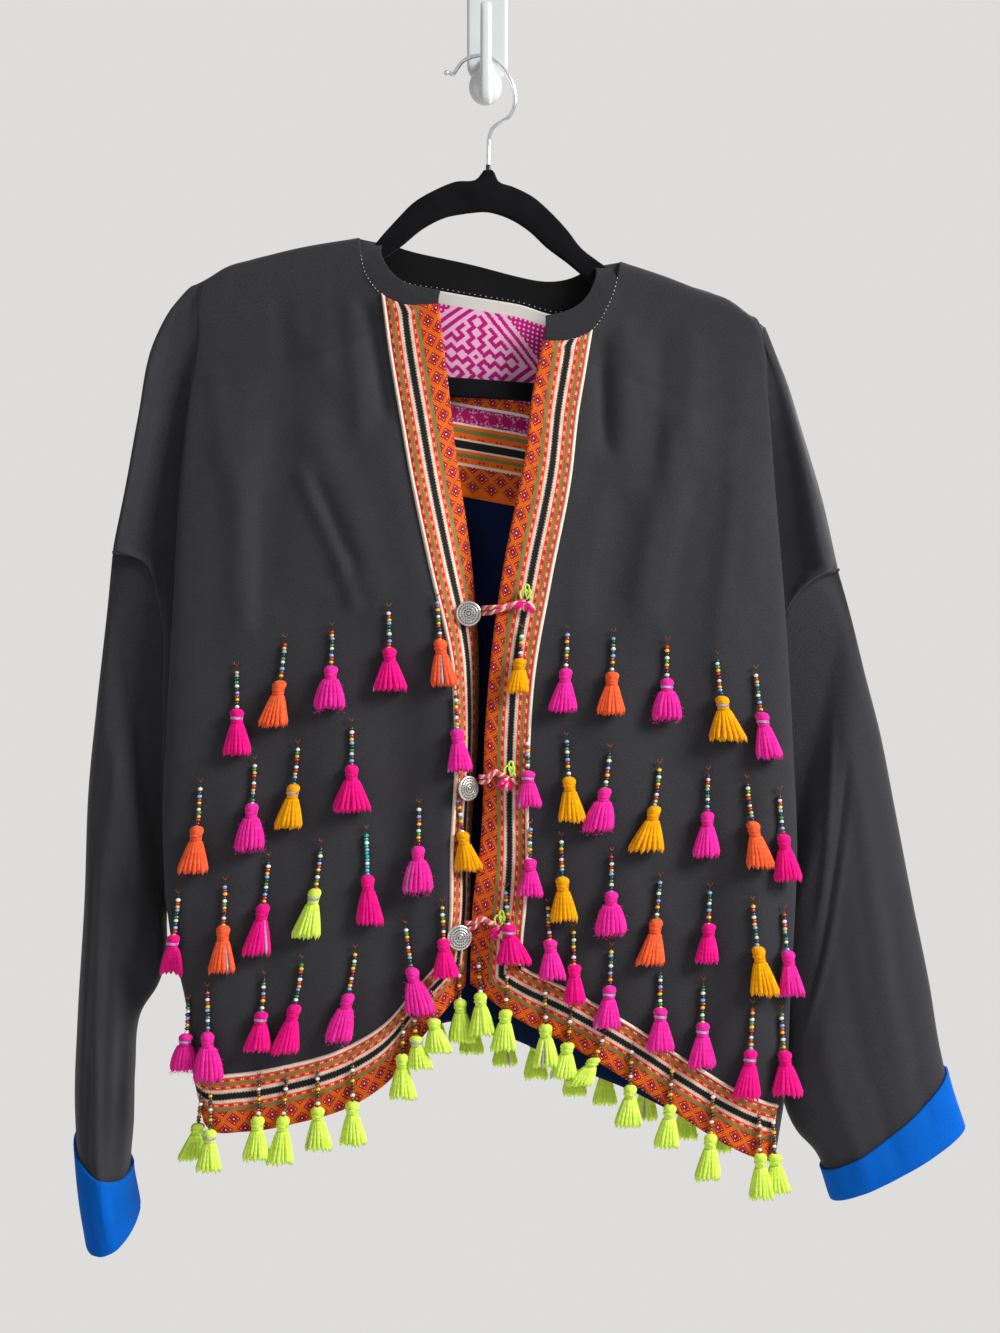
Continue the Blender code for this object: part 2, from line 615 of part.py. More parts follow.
class Back:
    """The back: u runs from the wearer's right to the left."""

    def __init__(self, right, left):
        right_run = [right.outer.at(0)] + [right.top.at(1 - step / 4) for step in range(5)]
        left_run = [left.top.at(step / 4) for step in range(5)] + [left.outer.at(0)]
        self.top = Track(right_run, BACK_NECK, left_run)
        self.hem = Track(BACK_HEM)
        self.right = right.outer
        self.left = left.outer

    def rim(self, seam, v):
        """Depth of an outer seam, which lies deeper along the armhole."""
        start = seam.corner(0)
        end = seam.corner(1)
        armhole = ease((v - start) / 0.04 + 0.5) * ease((end - v) / 0.05 + 0.5)
        return blend(BACK_RIM if v < end else SIDE_RIM, ARMHOLE_BACK, armhole)

    def top_rim(self, u):
        """Depth of the upper rim: over the shoulder, or flat at the neck."""
        start = self.top.corner(0)
        end = self.top.corner(1)
        neck = ease((u - start) / NECK_TURN) * ease((end - u) / NECK_TURN)
        return blend(BACK_RIM, BACK_DEPTH, neck)

    def point(self, u, v):
        """Point of the middle of the cloth."""
        flat = coons(u, v, self.top, self.hem, self.right, self.left)
        calm = ease(u / 0.15) * ease((1 - u) / 0.15) * ease(v / 0.15)
        depth = BACK_DEPTH - HEM_STAND_OFF * ease((v - 0.35) / 0.6)
        depth -= abs(fold_height(BACK_FOLDS, flat.x, flat.y)) * calm
        depth = blend(self.rim(self.right, v), depth, bulge(u / 0.05))
        depth = blend(self.rim(self.left, v), depth, bulge((1 - u) / 0.05))
        rim = self.top_rim(u)
        return Vector((flat.x, blend(rim, depth, bulge(v / ROLL_SHARE)), flat.y))

    def rows(self):
        """Shares of the height where the mesh has lines."""
        return height_rows(self.right)

    def columns(self):
        """Shares of the width where the mesh has lines."""
        start = self.top.corner(0)
        end = self.top.corner(1)
        shares = snapped(BACK_COLUMNS, (start, end))
        return sorted(shares + [start + NECK_TURN, end - NECK_TURN])

    def grid(self):
        """Rows of points over the whole back."""
        return [[self.point(u, v) for u in self.columns()] for v in self.rows()]


class Sleeve:
    """A sleeve from its armhole seam to the end inside the cuff."""

    def __init__(self, front, back, rings, cuff_start):
        self.front = front
        self.back = back
        self.outer = Track([ring[0:2] for ring in rings])
        self.inner = Track([ring[2:4] for ring in rings])
        last = len(rings) - 1
        self.form = Rows([(index / last,) + ring[4:] for index, ring in enumerate(rings)])
        self.cuff_start = cuff_start

    def ring_point(self, angle, t):
        """Point of the flattened ring at a share of the sleeve's length."""
        front, back, sag = self.form.at(t)
        share = (1 - math.cos(angle)) / 2
        flat = blend(self.outer.at(t), self.inner.at(t), share)
        swell = math.sin(angle)
        reach = abs(swell) ** 0.85
        depth = blend(SHOULDER_DEPTH, front if swell > 0 else back, reach)
        drop = sag * swell
        return Vector((flat.x, depth, flat.y - drop))

    def seam_point(self, share, side):
        """Point of the armhole seam, on the front's side (1) or the back's (0)."""
        seam = self.front.outer
        v = blend(seam.corner(0), seam.corner(1), share)
        place = seam.at(v)
        depth = blend(self.back.rim(seam, v), self.front.seam_depth(v), side)
        return Vector((place.x, depth, place.y))

    def places(self):
        """Around a ring: share of the way to the inner side, front or back, and angle."""
        result = []
        for share in ARMHOLE_ROWS[:-1]:
            side = 0.5 if share == 0 else 1.0
            result.append((share, side, math.acos(1 - 2 * share)))
        for share in ARMHOLE_ROWS[:0:-1]:
            side = 0.5 if share == 1 else 0.0
            result.append((share, side, math.tau - math.acos(1 - 2 * share)))
        return result + [(0.0, 0.5, math.tau)]

    def line(self, t):
        """One ring of points, closed by a repeat of the first."""
        points = []
        for share, side, angle in self.places():
            ring = self.ring_point(angle, max(t, SLEEVE_ROWS[1]))
            seam = self.seam_point(share, side)
            away = ring - seam
            if t == 0:
                nearby = share - 0.01 if share else 0.01
                tangent = self.seam_point(nearby, side) - seam
                away -= away.project(tangent)
                place = seam + away.normalized() * SLEEVE_SEAM
            else:
                place = seam + away * ease(t / SETTLED)
                place.y = blend(seam.y, ring.y, ease(t / SWELLED))
            points.append(place)
        return points

    def rows(self):
        """Shares of the length where the mesh has rings."""
        cuff = [blend(self.cuff_start, 1.0, share) for share in CUFF_ROWS]
        return list(SLEEVE_ROWS) + cuff


def normals(grid, facing=None):
    """Offsets that move each facet of a grid out by 1: open grids by facing, rings outwards."""
    rows = len(grid)
    columns = len(grid[0])
    facets = []
    for row in range(rows - 1):
        line = []
        for column in range(columns - 1):
            across = grid[row][column + 1] - grid[row + 1][column]
            down = grid[row + 1][column + 1] - grid[row][column]
            normal = across.cross(down).normalized()
            towards = facing
            if towards is None:
                middle = sum(grid[row][:-1], Vector()) / (columns - 1)
                towards = grid[row][column] - middle
            if normal.dot(towards) < 0:
                normal.negate()
            line.append(normal)
        facets.append(line)
    result = []
    for row in range(rows):
        line = []
        for column in range(columns):
            beside = (column - 1, column)
            if facing is None:
                beside = ((column - 1) % (columns - 1), column % (columns - 1))
            found = []
            for facet_row in (row - 1, row):
                for facet_column in beside:
                    inside = 0 <= facet_row < rows - 1 and 0 <= facet_column < columns - 1
                    if inside:
                        found.append(facets[facet_row][facet_column])
            mean = sum(found, Vector()).normalized()
            least = sum(mean.dot(normal) for normal in found) / len(found)
            line.append(mean / max(least, 0.6))
        result.append(line)
    return result


def lifted(grid, directions, distance):
    """Grid moved out along its normals."""
    return [[point + normal * distance for point, normal in zip(line, normal_line)]
            for line, normal_line in zip(grid, directions)]


def cut_out(grid, rows, columns):
    """Part of a grid: a slice of its rows and a slice of its columns."""
    return [line[columns] for line in grid[rows]]


def principled(name, look):
    """A plain material of one of the looks."""
    colour, roughness, metal = LOOKS[look]
    material = bpy.data.materials.new(name)
    material.use_nodes = True
    shader = material.node_tree.nodes["Principled BSDF"]
    shader.inputs["Base Color"].default_value = (*colour, 1.0)
    shader.inputs["Roughness"].default_value = roughness
    shader.inputs["Metallic"].default_value = metal
    material.diffuse_color = (*colour, 1.0)
    return material


def add_object(collection, name, data, look=None):
    """Link an object, with a material of its own if it has a look."""
    item = bpy.data.objects.new(name, data)
    collection.objects.link(item)
    if look:
        data.materials.append(principled(name + "_surface", look))
    return item


def cloth(collection, name, grid, thickness, look, closed=False):
    """A walled piece from a grid of points in millimetres."""
    mesh = bpy.data.meshes.new(name)
    shape = bmesh.new()
    bmesh.ops.create_grid(shape, x_segments=len(grid[0]) - 1, y_segments=len(grid) - 1, size=1)
    points = [point for line in grid for point in line]
    for vertex, point in zip(shape.verts, points):
        vertex.co = point * MM
    if closed:
        bmesh.ops.remove_doubles(shape, verts=shape.verts, dist=0.00001)
    shape.to_mesh(mesh)
    shape.free()
    item = add_object(collection, name, mesh, look)
    wall = item.modifiers.new("wall", "SOLIDIFY")
    wall.thickness = thickness * MM
    wall.offset = 0.0
    return item


def tube(collection, name, points, radius, look, swell=None):
    """A round wire or cord along points in millimetres."""
    data = bpy.data.curves.new(name, "CURVE")
    data.dimensions = "3D"
    data.bevel_depth = radius * MM
    data.bevel_resolution = 2
    data.use_fill_caps = True
    spline = data.splines.new("POLY")
    spline.points.add(len(points) - 1)
    for index, point in enumerate(points):
        spline.points[index].co = (*(point * MM), 1.0)
        spline.points[index].radius = swell(index) if swell else 1.0
    return add_object(collection, name, data, look)


def outline(collection, name, runs, half_thickness, edge, look):
    """A flat plate from outlines in the XZ plane, with chamfered edges."""
    data = bpy.data.curves.new(name, "CURVE")
    data.dimensions = "2D"
    data.fill_mode = "BOTH"
    data.extrude = (half_thickness - edge) * MM
    data.bevel_depth = edge * MM
    data.bevel_resolution = 0
    data.offset = -edge * MM
    for points in runs:
        spline = data.splines.new("POLY")
        spline.points.add(len(points) - 1)
        for index, point in enumerate(points):
            spline.points[index].co = (point.x * MM, point.y * MM, 0.0, 1.0)
        spline.use_cyclic_u = True
    item = add_object(collection, name, data, look)
    item.rotation_euler = (math.pi / 2, 0.0, 0.0)
    return item


def closed_points(track, count):
    """Points of a closed outline, without the repeat of its first."""
    return [track.at(index / count) for index in range(count)]


def surface(items):
    """Search trees of finished objects."""
    bpy.context.view_layer.update()
    graph = bpy.context.evaluated_depsgraph_get()
    return [BVHTree.FromObject(item, graph) for item in items]


def depth_at(trees, x, z, facing=-1):
    """Depth of the outermost cloth at a place, or None beside it."""
    start = Vector((x * MM, facing * 0.3, z * MM))
    depths = []
    for tree in trees:
        hit = tree.ray_cast(start, Vector((0, -facing, 0)))[0]
        if hit:
            depths.append(hit.y / MM)
    if not depths:
        return None
    return min(depths) if facing < 0 else max(depths)


def clear_depth(trees, x, z, half_width, room, facing, fallback):
    """Depth that leaves room in front of the cloth over a width."""
    places = (-1, -0.5, 0, 0.5, 1)
    found = [depth_at(trees, x + side * half_width, z, facing) for side in places]
    found = [depth for depth in found if depth is not None]
    if not found:
        return fallback
    outermost = min(found) if facing < 0 else max(found)
    return outermost + facing * room


def tassel_axis(knot, sway, drop, trees, root_depth, facing=-1):
    """Plumb line of a tassel that stays clear of the cloth behind it."""
    points = [Vector((knot.x, root_depth, knot.y))]
    for share, lean, half_width, room in TASSEL_STOPS:
        x = knot.x + sway * lean
        z = knot.y - drop * share
        between = (z + points[-1].z) / 2
        found = [clear_depth(trees, x, height, half_width, room, facing, points[-1].y)
                 for height in (between, z)]
        depth = min(found) if facing < 0 else max(found)
        points.append(Vector((x, depth, z)))
    if facing < 0:
        points[1].y = min(points[1].y, blend(points[0].y, points[2].y, 0.5))
    else:
        points[1].y = max(points[1].y, blend(points[0].y, points[2].y, 0.5))
    return points


def along_drop(axis, share):
    """Point of a tassel's line at a share of its drop."""
    span = (axis[0].z - axis[-1].z) * share
    for start, end in zip(axis, axis[1:]):
        if axis[0].z - end.z >= span:
            break
    return blend(start, end, (axis[0].z - span - start.z) / (end.z - start.z))


def tassel_shape(shape, axis):
    """Add one closed tassel: a string, a tied head and three locks."""
    sides = TASSEL_SIDES
    rings = []
    for share, radius in TASSEL_RINGS:
        centre = along_drop(axis, share)
        ring = []
        for side in range(sides):
            angle = math.tau * side / sides
            place = centre + Vector((math.cos(angle), math.sin(angle), 0)) * radius
            ring.append(shape.verts.new(place * MM))
        rings.append(ring)
    faces = [shape.faces.new(rings[0])]
    for upper, lower in zip(rings, rings[1:]):
        for side in range(sides):
            after = (side + 1) % sides
            faces.append(shape.faces.new((upper[side], lower[side], lower[after], upper[after])))
    middle = shape.verts.new(along_drop(axis, LOCK_ROOT) * MM)
    sectors = []
    for side in range(sides):
        sectors.append(shape.faces.new((middle, rings[-1][side], rings[-1][(side + 1) % sides])))
    grown = bmesh.ops.extrude_discrete_faces(shape, faces=sectors[::2])["faces"]
    for index, face in enumerate(grown):
        angle = math.tau * (2 * index + LOCK_TURN) / sides
        away = Vector((math.cos(angle), math.sin(angle) * LOCK_REACH, 0)) * SKIRT_RADIUS
        shift = (axis[-1] + away) * MM - face.calc_center_median()
        bmesh.ops.translate(shape, verts=face.verts, vec=shift)


def tassel_mesh(name, axes):
    """Mesh of one or more tassels."""
    mesh = bpy.data.meshes.new(name)
    shape = bmesh.new()
    for axis in axes:
        tassel_shape(shape, axis)
    bmesh.ops.recalc_face_normals(shape, faces=shape.faces)
    shape.to_mesh(mesh)
    shape.free()
    return mesh


def join(item, cutters, operation="UNION"):
    """Boolean each cutter into an object."""
    for cutter in cutters:
        cutter.hide_render = True
        cutter.display_type = "WIRE"
        step = item.modifiers.new(cutter.name, "BOOLEAN")
        step.operation = operation
        step.solver = "EXACT"
        step.object = cutter


def add_wall_hook(parts, cutters, look):
    """Plate, crook and rounded nose of the wall hook, joined."""
    plate = bpy.data.meshes.new("wall_hook")
    shape = bmesh.new()
    bmesh.ops.create_cube(shape, size=1.0)
    bmesh.ops.scale(shape, verts=shape.verts, vec=Vector(PLATE_SIZE) * MM)
    bmesh.ops.translate(shape, verts=shape.verts, vec=Vector(PLATE_CENTRE) * MM)
    upright = [edge for edge in shape.edges
               if abs(edge.verts[0].co.y - edge.verts[1].co.y) > MM]
    bmesh.ops.bevel(shape, geom=upright, offset=PLATE_CORNER * MM, segments=CORNER_STEPS,
                    affect="EDGES", profile=0.5, material=-1)
    front = [edge for edge in shape.edges
             if all(vertex.co.y < PLATE_FRONT * MM for vertex in edge.verts)]
    bmesh.ops.bevel(shape, geom=front, offset=PLATE_ROUNDING * MM, segments=ROUNDING_STEPS,
                    affect="EDGES", profile=0.5, material=-1)
    shape.to_mesh(plate)
    shape.free()
    item = add_object(parts, "wall_hook", plate, look)
    points = closed_points(Track(*CROOK_OUTLINE), CROOK_POINTS)
    crook_curve = outline(cutters, "crook_curve", [points], CROOK_THICK / 2, CHAMFER, look)
    crook_curve.rotation_euler = (math.pi / 2, 0.0, math.pi / 2)
    crook_curve.location = (CROOK_SHIFT * MM, 0.0, 0.0)
    bpy.context.view_layer.update()
    graph = bpy.context.evaluated_depsgraph_get()
    crook_mesh = bpy.data.meshes.new_from_object(crook_curve.evaluated_get(graph))
    crook = bpy.data.objects.new("crook", crook_mesh)
    cutters.objects.link(crook)
    crook.matrix_world = crook_curve.matrix_world.copy()
    bpy.data.objects.remove(crook_curve)
    shape = bmesh.new()
    shape.from_mesh(crook_mesh)
    bmesh.ops.remove_doubles(shape, verts=shape.verts, dist=0.00001)
    shape.to_mesh(crook_mesh)
    shape.free()
    nose_mesh = bpy.data.meshes.new("nose")
    shape = bmesh.new()
    bmesh.ops.create_uvsphere(shape, u_segments=NOSE_SEGMENTS, v_segments=NOSE_RINGS,
                              radius=1.0)
    bmesh.ops.scale(shape, verts=shape.verts, vec=Vector(NOSE_SIZE) * MM)
    bmesh.ops.translate(shape, verts=shape.verts, vec=Vector(NOSE_CENTRE) * MM)
    shape.to_mesh(nose_mesh)
    shape.free()
    nose = bpy.data.objects.new("nose", nose_mesh)
    cutters.objects.link(nose)
    join(item, [crook, nose])
    return item


def add_hanger(parts, velvet, steel):
    """Flat velvet frame with its trouser bar, and the wire hook."""
    outside = closed_points(Track(*HANGER_OUTSIDE, HANGER_NECK), OUTSIDE_POINTS)
    inside = closed_points(Track(HANGER_INSIDE + HANGER_INSIDE[:1]), INSIDE_POINTS)
    frame = outline(parts, "hanger", [outside, inside], HANGER_THICK / 2, CHAMFER, velvet)
    frame.location = (0.0, HANGER_DEPTH * MM, 0.0)
    route = Track(WIRE_ROUTE)
    points = [route.at(index / (WIRE_POINTS - 1)) for index in range(WIRE_POINTS)]
    points = [Vector((point.x, HANGER_DEPTH, point.y)) for point in points]
    tube(parts, "hanger_wire", points, WIRE_RADIUS, steel,
         lambda index: WIRE_TIP if index in (0, 1) else 1.0)
    return frame


def add_button(parts, name, trees, row, look):
    """Domed round button with its shank, turned on the spot."""
    x, z, turn = row
    turn = math.radians(turn)
    reach = BUTTON_RADIUS * math.cos(turn)
    room = BUTTON_BACK + BUTTON_TILT_ROOM * math.sin(turn)
    depth = clear_depth(trees, x, z, reach, room, -1, 0)
    across = Vector((math.cos(turn), math.sin(turn), 0))
    inward = Vector((-math.sin(turn), math.cos(turn), 0))
    centre = Vector((x, depth, z))
    shank = BUTTON_BACK
    found = []
    for offset in (across, -across, Vector((0, 0, 1)), Vector((0, 0, -1)), Vector()):
        start = (centre + offset * SHANK_RADIUS) * MM
        for tree in trees:
            hit = tree.ray_cast(start, inward, SHANK_REACH * MM)
            if hit[0]:
                found.append(hit[3] / MM)
    if found:
        shank = min(found) - LEAST_GAP
    profile = BUTTON_PROFILE + [(SHANK_RADIUS, SHANK_TOP), (SHANK_RADIUS, -shank),
                                (0.0, -shank)]
    mesh = bpy.data.meshes.new(name)
    shape = bmesh.new()
    places = [shape.verts.new((radius * MM, 0.0, height * MM)) for radius, height in profile]
    for start, end in zip(places, places[1:]):
        shape.edges.new((start, end))
    shape.to_mesh(mesh)
    shape.free()
    item = add_object(parts, name, mesh, look)
    turned = item.modifiers.new("turned", "SCREW")
    turned.angle = math.tau
    turned.steps = BUTTON_STEPS
    turned.render_steps = BUTTON_STEPS
    turned.use_merge_vertices = True
    turned.merge_threshold = 0.00001
    turned.use_normal_calculate = True
    item.location = (x * MM, depth * MM, z * MM)
    item.rotation_euler = (math.pi / 2, 0.0, turn)
    return depth


def add_loop(parts, name, trees, row, button_depth, look):
    """Button loop from its sewn end to the button."""
    x_sewn, z_sewn, x_middle, z_middle, x_end, z_end = row
    sewn = depth_at(trees, x_sewn, z_sewn)
    if sewn is None:
        sewn = button_depth
    room = LOOP_RADIUS + LEAST_GAP
    rise = min(button_depth, sewn - room)
    route = Track([
        (x_sewn, sewn - room, z_sewn),
        (blend(x_sewn, x_middle, 0.6), sewn - room - LOOP_ARCH[0],
         blend(z_sewn, z_middle, 0.6)),
        (x_middle, min(rise, sewn - room - LOOP_ARCH[1]), z_middle),
        (x_end, rise, z_end),
    ])
    points = [route.at(index / (LOOP_POINTS - 1)) for index in range(LOOP_POINTS)]
    tube(parts, name, points, LOOP_RADIUS, look)


def moved_out(grid, directions, rows, columns, distance):
    """Part of a grid, moved out from the cloth that it lies on."""
    return lifted(cut_out(grid, rows, columns), cut_out(directions, rows, columns), distance)


def collar_grid(right, left, back):
    """Rows of points of the collar, from its upper edge down to the neck seam."""
    sections = []
    for front in (right, left):
        shares = [v for v in front.rows() if 0.02 < v <= front.near.corner(0)]
        sections.append([front.body(0.0, v) for v in reversed(shares)])
    right_seam = sections[0]
    left_seam = sections[1][::-1]
    start, end = (back.top.corner(run) for run in (0, 1))
    inner = [u for u in back.columns() if start + NECK_TURN <= u <= end - NECK_TURN]
    back_seam = [back.point(u, 0.0) for u in inner]
    shoulders = [Vector((place.x, SHOULDER_DEPTH, place.y))
                 for place in (right.near.at(0), left.near.at(0))]
    seams = [right_seam + shoulders[:1], shoulders[:1] + back_seam + shoulders[1:],
             shoulders[1:] + left_seam]
    bottom = []
    top = []
    for seam, edge in zip(seams, COLLAR_EDGE):
        track = Track(edge)
        lengths = [0.0]
        for first, second in zip(seam, seam[1:]):
            lengths.append(lengths[-1] + (second - first).length)
        skip = 1 if bottom else 0
        for place, length in list(zip(seam, lengths))[skip:]:
            upper = track.at(length / lengths[-1])
            bottom.append(place + (upper - place).normalized() * COLLAR_SEAM)
            top.append(upper)
    middle = [blend(low, high, 0.5) for low, high in zip(bottom, top)]
    return [top, middle, bottom]


def add_front(parts, side, front):
    """A front with its ribbon bands; returns its grid, its normals and its objects."""
    grid = front.grid()
    directions = normals(grid, Vector((0, -1, 0)))
    panel = cloth(parts, side + "_front", grid, CLOTH, "twill")
    rows = front.rows()
    neck = rows.index(front.near.corner(0))
    hem = rows.index(HEM_BAND_SHARE)
    band_columns = slice(0, len(BAND_COLUMNS))
    hem_columns = slice(0, -1 - len(SIDE_COLUMNS))
    front_band = moved_out(grid, directions, slice(neck, hem), band_columns, BAND_LEVEL)
    hem_band = moved_out(grid, directions, slice(hem, None), hem_columns, BAND_LEVEL)
    items = [
        panel,
        cloth(parts, side + "_front_band", front_band, RIBBON, "ribbon"),
        cloth(parts, side + "_hem_band", hem_band, RIBBON, "ribbon"),
    ]
    piping_columns = slice(len(BAND_COLUMNS) - 1, len(BAND_COLUMNS) + 1)
    front_piping = moved_out(grid, directions, slice(neck, hem - 1), piping_columns,
                             PIPING_LEVEL)
    front_piping = [[blend(inner, outer, PIPING_INSET), outer]
                    for inner, outer in front_piping]
    first = len(BAND_COLUMNS) + 1
    hem_piping = moved_out(grid, directions, slice(hem - 1, hem + 1),
                           slice(first, -1 - len(SIDE_COLUMNS)), PIPING_LEVEL)
    hem_piping[1] = [blend(lower, upper, PIPING_INSET)
                     for upper, lower in zip(*hem_piping)]
    return items, front_piping, hem_piping


def share_across(point_at, x):
    """Share u at which a row of points reaches x."""
    low = 0.0
    high = 1.0
    rising = point_at(1.0).x > point_at(0.0).x
    for _ in range(HALVINGS):
        middle = (low + high) / 2
        if (point_at(middle).x < x) == rising:
            low = middle
        else:
            high = middle
    return low


def share_down(track, z):
    """Share of a downward curve at which it reaches a height."""
    low = 0.0
    high = 1.0
    for _ in range(HALVINGS):
        middle = (low + high) / 2
        if track.at(middle).z > z:
            low = middle
        else:
            high = middle
    return low


def add_piping(parts, cutters, name, grid, knots, trees, facing):
    """A piping with its tassels fused into it."""
    item = cloth(parts, name, grid, PIPING, "piping")
    own = surface([item])
    axes = []
    for knot, drop in knots:
        root = depth_at(own, knot.x, knot.y, facing)
        if root is None:
            continue
        root += facing * PIPING_ROOT
        axes.append(tassel_axis(knot, 0.0, drop, trees + own, root, facing))
    tassels = bpy.data.objects.new(name + "_tassels", tassel_mesh(name + "_tassels", axes))
    cutters.objects.link(tassels)
    join(item, [tassels])
    return item


def main():
    """Build every piece."""
    for item in list(bpy.data.objects):
        bpy.data.objects.remove(item, do_unlink=True)
    parts = bpy.data.collections.new("embroidered_jacket")
    cutters = bpy.data.collections.new("cutters")
    bpy.context.scene.collection.children.link(parts)
    bpy.context.scene.collection.children.link(cutters)

    right = Front(RIGHT_SHOULDER, RIGHT_FOLD, RIGHT_NECK, RIGHT_OPENING, RIGHT_HEM,
                  (RIGHT_ARM_LINE, RIGHT_ARMHOLE, RIGHT_SIDE), RIGHT_DEPTH, RIGHT_SIDE_FORM,
                  RIGHT_FOLDS)
    left = Front(LEFT_SHOULDER, LEFT_FOLD, LEFT_NECK, LEFT_OPENING, LEFT_HEM,
                 (LEFT_ARM_LINE, LEFT_ARMHOLE, LEFT_SIDE), LEFT_DEPTH, LEFT_SIDE_FORM,
                 LEFT_FOLDS)
    back = Back(right, left)

    right_items, right_piping, right_hem_piping = add_front(parts, "right", right)
    left_items, left_piping, left_hem_piping = add_front(parts, "left", left)

    back_grid = back.grid()
    back_out = normals(back_grid, Vector((0, 1, 0)))
    back_in = normals(back_grid, Vector((0, -1, 0)))
    back_rows = back.rows()
    hem = back_rows.index(HEM_BAND_SHARE)
    back_panel = cloth(parts, "back", back_grid, CLOTH, "twill")
    hem_columns = slice(3, -3)
    back_band = cloth(parts, "back_hem_band",
                      moved_out(back_grid, back_out, slice(hem, None), hem_columns, BAND_LEVEL),
                      RIBBON, "ribbon")
    lining_level = CLOTH / 2 + SEAM + LINING / 2
    cloth(parts, "back_lining",
          moved_out(back_grid, back_in, slice(4, hem - 1), slice(4, -4), lining_level),
          LINING, "navy")
    panel_level = lining_level + LINING / 2 + SEAM + PANEL / 2
    cloth(parts, "neck_panel",
          moved_out(back_grid, back_in, slice(2, NECK_PANEL_ROWS), slice(7, -7), panel_level),
          PANEL, "magenta")

    for side, front, rings, cuff_start in (
            ("right", right, RIGHT_RINGS, RIGHT_CUFF_START),
            ("left", left, LEFT_RINGS, LEFT_CUFF_START)):
        sleeve = Sleeve(front, back, rings, cuff_start)
        grid = [sleeve.line(t) for t in sleeve.rows()]
        cloth(parts, side + "_sleeve", grid, CLOTH, "twill", closed=True)
        cuff = moved_out(grid, normals(grid), slice(-len(CUFF_ROWS), None), slice(None),
                         CLOTH / 2 + SEAM + CUFF / 2)
        cloth(parts, side + "_cuff", cuff, CUFF, "blue", closed=True)

    cloth(parts, "collar", collar_grid(right, left, back), COLLAR, "twill")
    add_hanger(parts, "velvet", "steel")
    add_wall_hook(parts, cutters, "plastic")

    right_trees = surface(right_items)
    left_trees = surface(left_items)
    jobs = [
        ("right_front_piping", right_piping, RIGHT_BAND_TASSELS, right_trees),
        ("left_front_piping", left_piping, LEFT_BAND_TASSELS, left_trees),
    ]
    for name, grid, rows, trees in jobs:
        knots = []
        for z, drop in rows:
            line = Track([blend(row[0], row[1], 0.5) for row in grid])
            share = share_down(line, z)
            place = line.at(share)
            knots.append((Vector((place.x, z)), drop))
        add_piping(parts, cutters, name, grid, knots, trees, -1)
    hem_jobs = [
        ("right_hem_piping", right_hem_piping, right.body, RIGHT_HEM_TASSELS, right_trees),
        ("left_hem_piping", left_hem_piping, left.body, LEFT_HEM_TASSELS, left_trees),
    ]
    for name, grid, body, rows, trees in hem_jobs:
        knots = []
        for x, drop in rows:
            u = share_across(lambda share: body(share, HEM_PIPING_SHARE), x)
            knots.append((Vector((x, body(u, HEM_PIPING_SHARE).z)), drop))
        add_piping(parts, cutters, name, grid, knots, trees, -1)
    knots = []
    for x, drop in BACK_HEM_TASSELS:
        u = share_across(lambda share: back.point(share, HEM_PIPING_SHARE), x)
        knots.append((Vector((x, back.point(u, HEM_PIPING_SHARE).z)), drop))
    back_piping = moved_out(back_grid, back_out, slice(hem - 1, hem + 1), hem_columns,
                            PIPING_LEVEL)
    back_piping[1] = [blend(lower, upper, PIPING_INSET)
                      for upper, lower in zip(*back_piping)]
    add_piping(parts, cutters, "back_hem_piping", back_piping, knots,
               surface([back_panel, back_band]), 1)

    for index, row in enumerate(BUTTONS):
        trees = right_trees
        depth = add_button(parts, f"button_{index + 1}", trees, row, "silver")
        add_loop(parts, f"loop_{index + 1}", left_trees, LOOPS[index], depth, "cord")

    for rows, trees in ((RIGHT_TASSELS, right_trees), (LEFT_TASSELS, left_trees)):
        for number, x, z, sway, yarn in rows:
            room = STRING_BACK + LEAST_GAP
            root = min(clear_depth(trees, x, z - drop, STRING_RADIUS, room, -1, 0)
                       for drop in KNOT_SPAN)
            axis = tassel_axis(Vector((x, z)), sway, DROP, trees, root)
            name = f"tassel_{number:02d}"
            add_object(parts, name, tassel_mesh(name, [axis]), yarn)


main()
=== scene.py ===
"""Dress of an embroidered jacket that hangs on a velvet hanger and a plastic wall hook.

Sizes are in millimetres until the meshes are made. X runs across the jacket to the
viewer's right, Y runs back to the wall, Z runs up. The origin is the middle of the wall
hook's flat back. Right and left in the names are the wearer's.
"""

import logging
import math
import random
from dataclasses import dataclass, field
from enum import Enum
from typing import Callable, Iterable, Optional, Sequence, TypeVar, Union

import bmesh
import bpy
from mathutils import Matrix, Vector, noise
from mathutils.bvhtree import BVHTree


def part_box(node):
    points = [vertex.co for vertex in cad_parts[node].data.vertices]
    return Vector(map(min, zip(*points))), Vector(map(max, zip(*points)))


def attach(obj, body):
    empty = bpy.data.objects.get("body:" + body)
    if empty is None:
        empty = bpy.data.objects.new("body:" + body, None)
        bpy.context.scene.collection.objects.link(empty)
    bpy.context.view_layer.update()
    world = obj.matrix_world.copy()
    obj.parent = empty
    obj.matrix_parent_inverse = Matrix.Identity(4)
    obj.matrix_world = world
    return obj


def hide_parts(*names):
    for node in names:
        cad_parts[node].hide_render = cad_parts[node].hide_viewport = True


LOG = logging.getLogger("jacket")
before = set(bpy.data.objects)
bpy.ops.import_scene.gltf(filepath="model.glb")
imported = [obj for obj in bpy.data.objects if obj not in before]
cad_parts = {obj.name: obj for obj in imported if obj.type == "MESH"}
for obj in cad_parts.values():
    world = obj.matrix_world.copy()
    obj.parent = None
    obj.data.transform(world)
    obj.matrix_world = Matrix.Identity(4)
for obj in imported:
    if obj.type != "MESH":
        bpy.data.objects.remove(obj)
MM = 0.001
BODY = "root"
Place = TypeVar("Place", float, Vector)
Table = Sequence[tuple]
Line = Sequence[Vector]
Grid = list[list[Vector]]
Mesh = bmesh.types.BMesh
